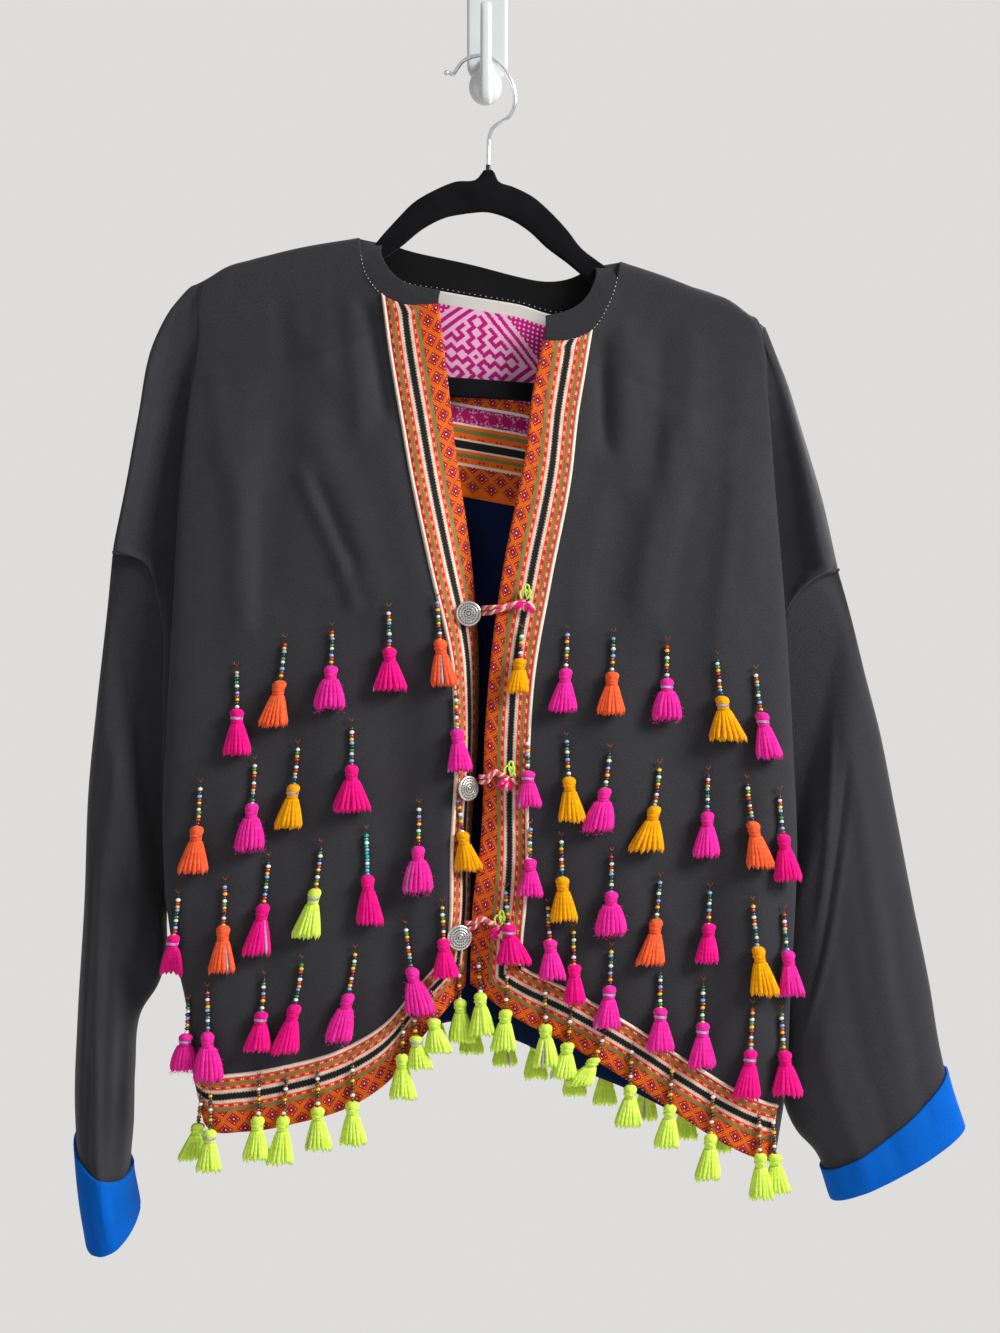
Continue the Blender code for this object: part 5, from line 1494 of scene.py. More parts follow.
@dataclass(frozen=True)
class Flocked(Finish):
    """Short velvet flock with lighter brushed patches."""

    def make(self, effects: Effects) -> Material:
        """Material of the flock."""
        material, graph, shader = self.start()
        fine = graph.noise(graph.place(), 2600.0, 2.0)
        patch = graph.noise(graph.place(), 40.0, 3.0)
        share = (fine * 0.4 + patch * 0.6 - 0.35) * 2.2
        graph.link(graph.mix(share.most(0.0).least(1.0), "08080a", "1a1a1e"),
                   shader.inputs["Base Color"])
        graph.bump(shader, fine, 0.5, 0.0004)
        return material


class Finishes:
    """Every finish of the jacket and what holds it."""

    def __init__(self) -> None:
        """Make the materials."""
        effects = Effects()
        self.twill = Woven("black_twill", "2a292d", 0.72, sheen=0.1, specular=0.22,
                           pale="343338", dark="202024", relief=0.9).make(effects)
        # A darker copy of the twill for the collar's inner side: painted shade where the inside of
        # the back collar lies in shadow.
        self.painted_shade_twill = Woven("collar_inside_painted_shade", "141416", 0.85, specular=0.1,
                            pale="19191b", dark="101012").make(effects)
        self.blue = Woven("royal_blue_cloth", "0060c6", 0.8, sheen=0.02, specular=0.08,
                          pale="0062c6", dark="0050aa", pitch=1.1).make(effects)
        # The lining is the same royal blue cloth as the cuffs; its dark navy colour is painted
        # shade of the jacket's inside.
        self.shade_painted_lining = Woven("blue_lining_painted_shade", "0a1a3c", 0.7, specular=0.08, pale="0e2450",
                          dark="07122c", pitch=1.0, relief=0.3).make(effects)
        self.ribbon = Ribbon("ribbon_rows", "f26a1b", 0.72, sheen=0.05, specular=0.2).make(effects)
        self.maze = Maze("maze_panel", "b3127c", 0.75, sheen=0.05, specular=0.2).make(effects)
        self.piping = Wool("cream_piping", "f2dcc8", 0.75, sheen=0.2, pale="f7e6d6",
                           dark="d9bda6").make(effects)
        self.thread = Wool("white_thread", "efeae4", 0.7, pale="f7f3ee",
                           dark="cfc8c0").make(effects)
        self.lavender = Wool("lavender_thread", "b9a3c8", 0.75, sheen=0.3, pale="cbb8d8",
                             dark="8d7aa0").make(effects)
        self.velvet = Flocked("black_velvet", "0a0a0c", 0.95, sheen=0.05,
                              specular=0.1).make(effects)
        self.chrome = Smooth("chrome_wire", "d5d8dc", 0.14, 1.0, worn="b4b8be",
                             gloss_spread=0.08).make(effects)
        self.plastic = Smooth("white_plastic", "d6d8d8", 0.22, coat=0.3, worn="ccd0d1",
                              grain=30.0, relief=0.01).make(effects)
        self.silver = Smooth("engraved_silver", "d6d5d3", 0.32, 1.0, worn="a4a29e",
                             grain=900.0, relief=0.3).make(effects)
        self.oxide = Smooth("oxidised_silver", "75736f", 0.5, 0.8, worn="484644",
                            grain=900.0, relief=0.3).make(effects)
        self.ferrule = Smooth("black_ferrule", "151515", 0.35, worn="222222").make(effects)
        self.copper = Smooth("copper_thread", "8f4a2c", 0.4, 0.6, worn="4d2414").make(effects)
        self.rose_cord = Wool("rose_cord", "dc2f62", 0.7, sheen=0.2, pale="ee5f86",
                              dark="b01c4c").make(effects)
        self.cream_cord = Wool("cream_cord", "f6d489", 0.7, sheen=0.2, pale="fbe8b4",
                               dark="dcb97f").make(effects)
        wools = {
            Yarn.HOT_PINK: ("fa0f86", "ff1f92", "d80570"),
            Yarn.PINK: ("f526a0", "ff3aae", "d8128a"),
            Yarn.CORAL: ("ff6234", "ff7448", "e84a1e"),
            Yarn.GOLDEN: ("fba902", "ffb812", "de8a00"),
            Yarn.NEON: ("dcfb58", "e6ff74", "bce03c"),
        }
        self.wool = {yarn: Wool(yarn.value + "_wool", codes[0], 0.9, sheen=0.08, specular=0.08,
                                pale=codes[1], dark=codes[2]).make(effects)
                     for yarn, codes in wools.items()}
        beads = {
            "white": ("f4f2ee", "dedbd5"), "black": ("101012", "1f1f22"),
            "sky": ("7fb6e6", "5f9bd3"), "red": ("c41f26", "8f1016"),
            "yellow": ("f2c61d", "d9a80e"), "green": ("2e8f4a", "1c6b33"),
            "turquoise": ("25b7b3", "159290"), "bronze": ("8a5a2c", "5b3715"),
        }
        self.bead = {name: Smooth(name + "_bead", codes[0], 0.22, worn=codes[1], coat=0.5,
                                  metallic=0.7 if name == "bronze" else 0.0).make(effects)
                     for name, codes in beads.items()}


FRONTWARD = Vector((0, -1, 0))
WALLWARD = Vector((0, 1, 0))


@dataclass
class Shape:
    """The jacket's panels as working surfaces."""

    right: Front = field(default_factory=lambda: Front(
        RIGHT_SHOULDER, RIGHT_FOLD, RIGHT_NECK, RIGHT_OPENING, RIGHT_HEM,
        (RIGHT_ARM_LINE, RIGHT_ARMHOLE, RIGHT_SIDE), RIGHT_DEPTH, RIGHT_SIDE_FORM,
        RIGHT_FOLDS, RIGHT_CREASES, 1.0))
    left: Front = field(default_factory=lambda: Front(
        LEFT_SHOULDER, LEFT_FOLD, LEFT_NECK, LEFT_OPENING, LEFT_HEM,
        (LEFT_ARM_LINE, LEFT_ARMHOLE, LEFT_SIDE), LEFT_DEPTH, LEFT_SIDE_FORM,
        LEFT_FOLDS, LEFT_CREASES, 2.0))

    def __post_init__(self) -> None:
        """Add the back and the sleeves."""
        self.back = Back(self.right, self.left)
        self.arms = {
            "right": Sleeve(self.right, self.back, RIGHT_RINGS, RIGHT_CUFF_START,
                            RIGHT_ARM_CREASES, 5.0),
            "left": Sleeve(self.left, self.back, LEFT_RINGS, LEFT_CUFF_START,
                           LEFT_ARM_CREASES, 6.0),
        }


def piping(node: str, edges: Sequence[Line], out: Line,
           finish: Material) -> Item:
    """Raised cream piping along a band.

    Args:
        node: CAD node that it stands for.
        edges: Near and far edge of the piping at each step.
        out: Direction away from the cloth at each step.
        finish: Its material.

    Returns:
        The piece.
    """
    grid = []
    for (near, far), normal in zip(edges, out):
        grid.append([])
        for share in steps(0.0, 1.0, 6):
            rise = PIPING_LEVEL + PIPING_RISE * math.sin(math.pi * share) ** 0.6
            grid[-1].append(blend(near, far, share) + normal * rise)
    shape = bmesh.new()
    faces = loft(shape, grid, Chart.of(grid))
    shape.normal_update()
    if sum(face.normal.y for face in faces) > 0:
        bmesh.ops.reverse_faces(shape, faces=shape.faces)
    item = new_piece(node + "_cord", shape, [finish], [node])
    modify(item, "wall", "SOLIDIFY", thickness=PIPING_WALL * MM, offset=-1.0)
    return item


@dataclass
class FrontPanel:
    """A front with its ribbon bands and pipings."""

    side: str
    front: Front
    finishes: Finishes
    items: list = field(default_factory=list)
    top_steps: int = 9
    seam_steps: int = 90

    def build(self) -> None:
        """Make the panel, then what lies on it."""
        grid = self.front.grid()
        self.grid = grid
        self.out = normals(grid, FRONTWARD)
        rows = self.front.rows()
        self.neck = nearest(rows, self.front.near.corner(0))
        self.hem = nearest(rows, HEM_BAND_SHARE)
        chart = Chart.of(grid, column=FINE_BAND)
        panel = Cloth(self.side + "_front_cloth", self.side + "_front", grid, chart, CLOTH,
                      self.finishes.twill, self.finishes.shade_painted_lining, FRONTWARD).build()
        self.items = [panel.item]
        self.band()
        self.hem_band()

    def top_rows(self) -> Grid:
        """Rows of the band from the collar's seam down to its straight part."""
        surface = Surfaces(self.items)
        lower, after = self.grid[self.neck], self.grid[self.neck + 2]
        seam = [self.front.body(0.0, v)
                for v in steps(self.front.near.corner(0), 0.03, self.seam_steps)]
        tops = []
        for foot, below in zip(lower[:FINE_BAND + 2], after):
            lean = (foot.x - below.x) / (foot.z - below.z)
            top = min(seam, key=lambda place: abs(place.x - foot.x - lean * (place.z - foot.z)))
            tops.append(Vector((top.x, top.y, max(top.z, foot.z + 0.6))))
        rows = []
        for share in steps(0.0, 1.0, self.top_steps)[:-1]:
            line = [blend(top, foot, share) for top, foot in zip(tops, lower)]
            for point in line:
                depth = surface.depth(point.x, point.z)
                point.y = point.y if depth is None else depth + CLOTH / 2
            rows.append(line)
        return rows

    def band(self) -> None:
        """Ribbon band down the opening, with its outer piping."""
        straight = cut_out(self.grid, slice(self.neck, self.hem + 1), slice(0, FINE_BAND + 2))
        upper = self.top_rows()
        base = upper + straight
        out = normals(base, FRONTWARD)
        inside = slice(0, FINE_BAND + 1)
        chart = Chart.of(cut_out(straight, slice(None), inside), row=len(straight) - 1,
                         column=FINE_BAND)
        above = Chart.of(cut_out(upper + straight[:1], slice(None), inside), row=len(upper),
                         column=FINE_BAND, even_down=False)
        start = chart.down[0][0]
        chart = Chart(above.across[:-1] + chart.across,
                      [[value + start for value in line] for line in above.down[:-1]]
                      + chart.down)
        band = lifted(cut_out(base, slice(None), inside), cut_out(out, slice(None), inside),
                      RIBBON_LEVEL)
        cloth = Cloth(self.side + "_front_band_ribbons", self.side + "_front_band", band,
                      chart.turned(), RIBBON, self.finishes.ribbon, None, FRONTWARD,
                      (self.side + "_front_cloth",)).build()
        self.items.append(cloth.item)
        edges = [line[FINE_BAND:] for line in base[:-1]]
        out = [line[FINE_BAND] for line in out[:-1]]
        self.items.append(piping(self.side + "_front_piping", edges, out, self.finishes.piping))

    def hem_band(self) -> None:
        """Ribbon band along the hem, with the piping above it."""
        last = len(self.front.columns(1.0)) - FINE_SIDE - 4
        rows = slice(self.hem, None)
        columns = slice(0, last)
        base = cut_out(self.grid, rows, columns)
        chart = Chart.of(base, row=0, column=FINE_BAND, even_across=True, even_down=False)
        chart = chart.turned()
        band = lifted(base, cut_out(self.out, rows, columns), RIBBON_LEVEL + 0.05)
        cloth = Cloth(self.side + "_hem_band_ribbons", self.side + "_hem_band", band, chart,
                      RIBBON, self.finishes.ribbon, None, FRONTWARD,
                      (self.side + "_front_cloth",)).build()
        self.items.append(cloth.item)
        inner = slice(FINE_BAND + 1, last)
        edges = list(zip(self.grid[self.hem][inner], self.grid[self.hem - 1][inner]))
        self.items.append(piping(self.side + "_hem_piping", edges, self.out[self.hem][inner],
                                 self.finishes.piping))


@dataclass
class BackPanel:
    """The back with its lining, neck panel and hem band."""

    back: Back
    finishes: Finishes
    items: list = field(default_factory=list)
    side_columns: int = 14
    band_shift: float = -60.0
    panel_level: float = 3.1
    panel_length: float = 153.0
    panel_middle: float = -6.7
    panel_top: float = 0.004

    def build(self) -> None:
        """Make the back from the wall inwards."""
        back = self.back
        columns = back.columns()
        rows = back.rows()
        grid = back.grid(columns, rows)
        chart = Chart.of(grid, column=len(columns) // 2)
        panel = Cloth("back_cloth", "back", grid, chart, CLOTH, self.finishes.twill,
                      self.finishes.shade_painted_lining, WALLWARD).build()
        out = normals(grid, WALLWARD)
        hem = nearest(rows, HEM_BAND_SHARE)
        inner = slice(self.side_columns, -self.side_columns)
        base = cut_out(grid, slice(hem, None), inner)
        chart = Chart.of(base, even_across=True, even_down=False).turned(self.band_shift)
        band = lifted(base, cut_out(out, slice(hem, None), inner), RIBBON_LEVEL)
        ribbons = Cloth("back_hem_band_ribbons", "back_hem_band", band, chart, RIBBON,
                        self.finishes.ribbon, None, WALLWARD, ("back_cloth",)).build()
        edges = list(zip(grid[hem][inner], grid[hem - 1][inner]))
        cord = piping("back_hem_piping", edges, out[hem][inner], self.finishes.piping)
        self.items = [panel.item, ribbons.item, cord]
        self.lining()

    def lining(self) -> None:
        """Lining, coloured a dark navy as painted shade of the royal blue cloth, and the maze
        panel under the neck.
        """
        back = self.back
        start, end = (back.top.corner(run) for run in (0, 1))
        columns = steps(0.045, 0.955, 80)
        rows = steps(0.03, HEM_BAND_SHARE - 0.006, 80)
        lining = back.grid(columns, rows, -RIBBON_LEVEL)
        Cloth("back_lining_cloth", "back_lining", lining, Chart.of(lining), RIBBON,
              self.finishes.shade_painted_lining, None, FRONTWARD, ("back_cloth",)).build()
        columns = steps(start + NECK_TURN * 1.4, end - NECK_TURN * 1.4, 60)
        bottom = self.share_down((start + end) / 2, self.panel_length)
        panel = back.grid(columns, steps(self.panel_top, bottom, 90), -self.panel_level)
        middle = nearest([point.x for point in panel[30]], self.panel_middle)
        Cloth("neck_panel_maze", "neck_panel", panel, Chart.of(panel, column=middle), 1.0,
              self.finishes.maze, None, FRONTWARD, ("back_lining_cloth",)).build()

    def share_down(self, u: float, length: float) -> float:
        """Share of the height at which a column of the back reaches a length."""
        total = 0.0
        v = self.panel_top
        last = self.back.point(u, v)
        while total < length:
            v += 0.004
            point = self.back.point(u, v)
            total += (point - last).length
            last = point
        return v


@dataclass
class Arm:
    """A sleeve with its turned-up cuff."""

    side: str
    sleeve: Sleeve
    finishes: Finishes
    cuff_wall: float = 2.0
    cuff_level: float = 2.1
    tuck: float = 3.2

    def build(self) -> None:
        """Make the sleeve and its cuff."""
        arm = self.sleeve
        shares = [0.0, 0.006, 0.014, 0.024, 0.036] + steps(0.05, arm.cuff_start, FINE_ARM)
        shares += steps(arm.cuff_start, 1.0, FINE_CUFF)[1:]
        grid = [arm.line(t) for t in shares]
        tucked = [start + (start - after).normalized() * self.tuck
                  for start, after in zip(grid[0], grid[1])]
        grid.insert(0, tucked)
        Cloth(self.side + "_sleeve_cloth", self.side + "_sleeve", grid, Chart.of(grid),
              CLOTH, self.finishes.twill, self.finishes.shade_painted_lining).build()
        out = normals(grid)
        rows = slice(-FINE_CUFF - 1, None)
        cuff = lifted(cut_out(grid, rows, slice(None)), cut_out(out, rows, slice(None)),
                      self.cuff_level)
        item = Cloth(self.side + "_cuff_cloth", self.side + "_cuff", cuff, Chart.of(cuff),
                     self.cuff_wall, self.finishes.blue, None, None,
                     (self.side + "_sleeve_cloth",)).build().item
        modify(item, "rounding", "BEVEL", width=0.5 * MM, segments=2, limit_method="ANGLE")


@dataclass
class Collar:
    """Narrow stand collar with a row of white stitches along its seam."""

    shape: Shape
    finishes: Finishes
    tuck: float = 2.0
    wall: float = 1.9
    front_steps: int = 26
    back_steps: int = 52
    softenings: int = 14
    stitch_step: float = 2.7

    def build(self) -> None:
        """Make the collar and its stitches."""
        right, left, back = self.shape.right, self.shape.left, self.shape.back
        sections = []
        for front in (right, left):
            shares = steps(0.024, front.near.corner(0), self.front_steps)
            sections.append([front.body(0.0, v) for v in reversed(shares)])
        start, end = (back.top.corner(run) for run in (0, 1))
        inner = steps(start + NECK_TURN, end - NECK_TURN, self.back_steps)
        shoulders = [Vector((place.x, SHOULDER_DEPTH, place.y))
                     for place in (right.near.at(0), left.near.at(0))]
        seams = [sections[0] + shoulders[:1],
                 shoulders[:1] + [back.point(u, 0.0) for u in inner] + shoulders[1:],
                 shoulders[1:] + sections[1][::-1]]
        bottom, top = [], []
        for line, edge in zip(seams, COLLAR_TOP):
            track = Track(edge)
            lengths = reaches(line)
            for place, length in list(zip(line, lengths))[1 if bottom else 0:]:
                upper = track.at(length / lengths[-1])
                bottom.append(place - (upper - place).normalized() * self.tuck)
                top.append(upper)
        for _ in range(self.softenings):
            top = [top[0]] + [blend(here, (before + after) / 2, 0.5)
                              for before, here, after in zip(top, top[1:], top[2:])] + [top[-1]]
        grid = []
        for share in steps(0.0, 1.0, 10):
            line = []
            for high, low in zip(top, bottom):
                near = min((low - shoulder).length for shoulder in shoulders)
                swell = 1.0 + 3.4 * math.exp(-(near / 20) ** 2)
                out = Vector((low.x - 2, (low.y + 14) * 1.5, 6 * (swell - 1))).normalized()
                line.append(blend(high, low, share) + out * swell * math.sin(math.pi * share))
            grid.append(line)
        # The collar's inner side takes the darker twill copy, which paints the shade inside the
        # back collar.
        item = Cloth("stand_collar", "collar", grid, Chart.of(grid), self.wall,
                     self.finishes.twill, self.finishes.painted_shade_twill, FRONTWARD).build().item
        modify(item, "rounding", "BEVEL", width=0.6 * MM, segments=3, limit_method="ANGLE")
        self.stitches(grid)

    def stitches(self, grid: Grid) -> None:
        """Short white stitches along the seam, on the side that faces forwards."""
        line = grid[-2]
        shape = bmesh.new()
        out = normals(grid, FRONTWARD)[-2]
        total = reaches(line)
        place = 3.0
        while place < total[-1] - 2.0:
            index = max(i for i, value in enumerate(total) if value <= place)
            here = line[index] + out[index] * (self.wall / 2 + 0.25)
            along = (line[index + 1] - line[index]).normalized()
            points = [here + along * step for step in (-0.7, -0.25, 0.25, 0.7)]
            tube(shape, points, (0.16, 0.26, 0.26, 0.16), 5)
            place += self.stitch_step
        new_piece("collar_stitches", shape, [self.finishes.thread])


def solid_outline(name: str, runs: Sequence[Sequence], half: float, edge: float,
                  turn: float) -> bpy.types.Mesh:
    """Flat plate with round edges, from outlines in the XZ plane.

    Args:
        name: Name of the mesh.
        runs: Closed outlines.
        half: Half its thickness in millimetres.
        edge: Radius of its edges.
        turn: Turn about Z in radians.

    Returns:
        The mesh, in metres.
    """
    data = bpy.data.curves.new(name, "CURVE")
    data.dimensions = "2D"
    data.fill_mode = "BOTH"
    data.extrude = (half - edge) * MM
    data.bevel_depth = edge * MM
    data.bevel_resolution = 3
    data.offset = -edge * MM
    for points in runs:
        spline = data.splines.new("POLY")
        spline.points.add(len(points) - 1)
        for index, point in enumerate(points):
            spline.points[index].co = (point.x * MM, point.y * MM, 0.0, 1.0)
        spline.use_cyclic_u = True
    item = bpy.data.objects.new(name, data)
    bpy.context.scene.collection.objects.link(item)
    item.rotation_euler = (math.pi / 2, 0.0, turn)
    bpy.context.view_layer.update()
    graph = bpy.context.evaluated_depsgraph_get()
    mesh = bpy.data.meshes.new_from_object(item.evaluated_get(graph))
    mesh.transform(item.matrix_world)
    bpy.data.objects.remove(item)
    return mesh


@dataclass
class Hanger:
    """Velvet hanger with its wire hook."""

    finishes: Finishes
    half: float = 3.0
    edge: float = 2.2
    wire: float = 1.5
    ball: float = 2.1

    def build(self) -> None:
        """Make the frame, the wire, its ball tip and the collar at the neck."""
        outside = Track(*HANGER_OUTSIDE)
        inside = Track(HANGER_INSIDE + HANGER_INSIDE[:1])
        runs = [[outside.at(index / 300) for index in range(300)],
                [inside.at(index / 220) for index in range(220)]]
        mesh = solid_outline("hanger_frame", runs, self.half, self.edge, 0.0)
        shape = bmesh.new()
        shape.from_mesh(mesh)
        move(shape, shape.verts, (0, HANGER_DEPTH, 0))
        bmesh.ops.remove_doubles(shape, verts=shape.verts, dist=0.00002)
        smooth(shape)
        new_piece("velvet_hanger", shape, [self.finishes.velvet], ["hanger"])
        route = Track(WIRE_ROUTE)
        shape = bmesh.new()
        places = [route.at(index / 120) for index in range(121)]
        points = [Vector((place.x, HANGER_DEPTH, place.y)) for place in places]
        tube(shape, points, [self.wire] * len(points), 14)
        made = bmesh.ops.create_uvsphere(shape, u_segments=18, v_segments=12,
                                         radius=self.ball * MM)
        move(shape, made["verts"], points[1])
        ferrule = [Vector((1.0, HANGER_DEPTH, z)) for z in (-98, -97, -95.8, -94, -92.2, -91.6)]
        tube(shape, ferrule, (2.1, 2.3, 2.2, 2.1, 2.1, 1.8), 18, slot=1)
        smooth(shape)
        bmesh.ops.recalc_face_normals(shape, faces=shape.faces)
        new_piece("hanger_hook_wire", shape, [self.finishes.chrome, self.finishes.ferrule],
                  ["hanger_wire"])


@dataclass
class WallHook:
    """Glossy plastic wall hook: a plate, a crook and a rounded nose, melted together."""

    finishes: Finishes
    plate: tuple = (31, 6, 78)

    def build(self) -> None:
        """Join the shapes and smooth them into one."""
        shape = bmesh.new()
        bmesh.ops.create_cube(shape, size=1.0)
        bmesh.ops.scale(shape, verts=shape.verts, vec=Vector(self.plate) * MM)
        move(shape, shape.verts, (0, -3, 13))
        upright = [edge for edge in shape.edges
                   if abs(edge.verts[0].co.y - edge.verts[1].co.y) > 0.001]
        bmesh.ops.bevel(shape, geom=upright, offset=13 * MM, segments=12, affect="EDGES",
                        profile=0.5, material=-1)
        front = [edge for edge in shape.edges
                 if all(vertex.co.y < -5.9 * MM for vertex in edge.verts)]
        bmesh.ops.bevel(shape, geom=front, offset=2 * MM, segments=4, affect="EDGES",
                        profile=0.5, material=-1)
        line = Track(*CROOK_OUTLINE)
        crook = solid_outline("crook", [[line.at(index / 90) for index in range(90)]], 4.2,
                              2.6, math.pi / 2)
        crook.transform(Matrix.Translation((-0.001, 0, 0)))
        shape.from_mesh(crook)
        nose = bmesh.ops.create_uvsphere(shape, u_segments=40, v_segments=28, radius=1.0)
        bmesh.ops.scale(shape, verts=nose["verts"], vec=Vector((12.6, 8, 14)) * MM)
        move(shape, nose["verts"], (-1.4, -17.5, -33.5))
        item = new_piece("plastic_wall_hook", shape, [self.finishes.plastic], ["wall_hook"])
        modify(item, "melt", "REMESH", mode="VOXEL", voxel_size=0.8 * MM, use_smooth_shade=True)
        modify(item, "soften", "SMOOTH", factor=0.5, iterations=5)


def outermost(depths: Sequence[float], facing: int) -> float:
    """Depth furthest from the cloth's middle on one side of it."""
    return min(depths) if facing < 0 else max(depths)


@dataclass
class Surfaces:
    """Finished pieces that others are laid on."""

    items: list

    def __post_init__(self) -> None:
        """Make their search trees."""
        bpy.context.view_layer.update()
        graph = bpy.context.evaluated_depsgraph_get()
        self.trees = [BVHTree.FromObject(item, graph) for item in self.items]

    def depth(self, x: float, z: float, facing: int = -1) -> Optional[float]:
        """Depth of the outermost cloth at a place, or None beside it.

        Args:
            x: Place across.
            z: Height.
            facing: -1 for the side away from the wall, 1 for the wall's side.

        Returns:
            The depth in millimetres.
        """
        start = Vector((x * MM, facing * 0.3, z * MM))
        found = []
        for tree in self.trees:
            hit = tree.ray_cast(start, Vector((0, -facing, 0)))[0]
            if hit:
                found.append(hit.y / MM)
        return outermost(found, facing) if found else None

    def clear(self, x: float, z: float, half: float, room: float, facing: int,
              fallback: float) -> float:
        """Depth that leaves room in front of the cloth over a width."""
        found = [self.depth(x + side * half, z, facing) for side in (-1, -0.4, 0.4, 1)]
        found = [depth for depth in found if depth is not None]
        return outermost(found, facing) + facing * room if found else fallback


@dataclass(frozen=True)
class Fastening:
    """A button and the cord loop that goes round it."""

    number: int
    place: tuple
    loop: tuple
    surfaces: Surfaces
    finishes: Finishes
    radius: float = 9.6
    grooves: tuple = ((0.9, 2.1), (2.7, 4.0), (4.8, 6.0), (6.8, 8.0))

    def build(self) -> None:
        """Make the button, then its loop."""
        depth = self.button()
        self.cord_loop(depth)

    def button(self) -> float:
        """Domed silver button with engraved rings.

        Returns:
            Depth of the middle of its rim.
        """
        x, z, turn = self.place
        turn = math.radians(turn)
        name = f"button_{self.number}"
        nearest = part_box(name)[0][1] / MM
        depth = nearest + max(1.9 * math.cos(turn), self.radius * math.sin(turn))
        shape = bmesh.new()
        places = [shape.verts.new((radius * MM, 0.0, height * MM))
                  for radius, height in BUTTON_PROFILE]
        edges = [shape.edges.new((start, end)) for start, end in zip(places, places[1:])]
        bmesh.ops.spin(shape, geom=places + edges, cent=(0, 0, 0), axis=(0, 0, 1),
                       dvec=(0, 0, 0), angle=math.tau, steps=56, use_merge=True,
                       use_normal_flip=False, use_duplicate=False)
        bmesh.ops.remove_doubles(shape, verts=shape.verts, dist=0.00001)
        for ring, count in BUTTON_GRAINS:
            for index in range(count):
                angle = math.tau * index / count
                bead = bmesh.ops.create_icosphere(shape, subdivisions=1, radius=0.42 * MM)
                spot = Vector((math.cos(angle) * ring, math.sin(angle) * ring, 2.1 - ring * 0.11))
                move(shape, bead["verts"], spot)
        for face in shape.faces:
            face.smooth = True
            middle = face.calc_center_median()
            reach = math.hypot(middle.x, middle.y) / MM
            in_groove = any(low < reach < high for low, high in self.grooves)
            face.material_index = 1 if in_groove and middle.z > 0 and len(face.verts) == 4 else 0
        bmesh.ops.recalc_face_normals(shape, faces=shape.faces)
        turned = Matrix.Rotation(turn, 4, "Z") @ Matrix.Rotation(math.pi / 2, 4, "X")
        bmesh.ops.transform(shape, matrix=turned, verts=shape.verts)
        move(shape, shape.verts, (x, depth, z))
        new_piece(f"silver_button_{self.number}", shape,
                  [self.finishes.silver, self.finishes.oxide], [name])
        return depth

    def cord_loop(self, depth: float) -> None:
        """Loop of two twisted cords, with a bow and a tuft where it is sewn down."""
        x_sewn, z_sewn, x_middle, z_middle, x_end, z_end = self.loop
        sewn = self.surfaces.depth(x_sewn, z_sewn)
        sewn = depth if sewn is None else sewn
        rise = min(depth, sewn - 2.2)
        shape = bmesh.new()
        for apart in (1.9, -1.9):
            route = Track([(x_sewn, sewn - 1.9, z_sewn),
                           (blend(x_sewn, x_middle, 0.6), sewn - 3.7,
                            blend(z_sewn, z_middle, 0.6) + apart * 0.25),
                           (x_middle, min(rise, sewn - 4.2), z_middle + apart * 0.4),
                           (x_end, rise, z_end + apart),
                           (x_end - 6.5, depth + 2.8, z_end - 0.5 + apart)])
            for strand, slot in ((0.0, 0), (math.tau / 3, 1), (2 * math.tau / 3, 0)):
                points = []
                for index in range(49):
                    angle = strand + index * 0.62
                    away = Vector((0, math.cos(angle), math.sin(angle))) * 0.95
                    points.append(route.at(index / 48) + away)
                tube(shape, points, [0.9] * 49, 6, slot=slot)
        chance = random.Random(self.number)
        base = route.at(0.0)
        for index in range(18):
            swing = chance.uniform(-0.75, 0.95)
            reach = chance.uniform(8.5, 14.0)
            end = base + Vector((-math.sin(swing) * reach, chance.uniform(-3.4, -0.8),
                                 -math.cos(swing) * reach * 0.8))
            middle = blend(base, end, 0.45) + Vector((chance.uniform(-1, 1), -2.0, 1.0))
            tube(shape, [base, middle, blend(middle, end, 0.6), end], (0.6, 1.1, 1.2, 0.8), 6,
                 slot=(3, 3, 1)[index % 3])
        for lean, height in ((-3.0, 8.5), (1.6, 12.0), (5.0, 8.0)):
            bow = [base + Vector((lean * t + 2.0 * math.sin(math.tau * t), -1.8,
                                  height * math.sin(math.pi * t))) for t in steps(0.0, 1.0, 12)]
            tube(shape, bow, [0.75] * 13, 6, slot=2)
        bmesh.ops.recalc_face_normals(shape, faces=shape.faces)
        new_piece(f"cord_loop_{self.number}", shape,
                  [self.finishes.rose_cord, self.finishes.cream_cord,
                   self.finishes.wool[Yarn.NEON], self.finishes.wool[Yarn.HOT_PINK]],
                  [f"loop_{self.number}"])


@dataclass(frozen=True)
class Tassel:
    """A bead string with a tied wool tassel at its end."""

    name: str
    x: float
    z: float
    sway: float
    drop: float
    yarn: Yarn
    beads: Beads = Beads.MIXED
    spread: float = 11.0
    facing: int = -1
    nodes: tuple = ()
    slot: str = ""
    fuzzy: bool = False


# Profile of a tied head: share of the drop, radius
HEAD_ROWS = [(0.475, 0.8), (0.483, 2.6), (0.498, 4.1), (0.52, 4.9), (0.545, 4.9),
             (0.565, 4.4), (0.58, 3.9), (0.6, 4.0), (0.63, 4.2), (0.66, 3.0)]
HEAD_SIDES = 18


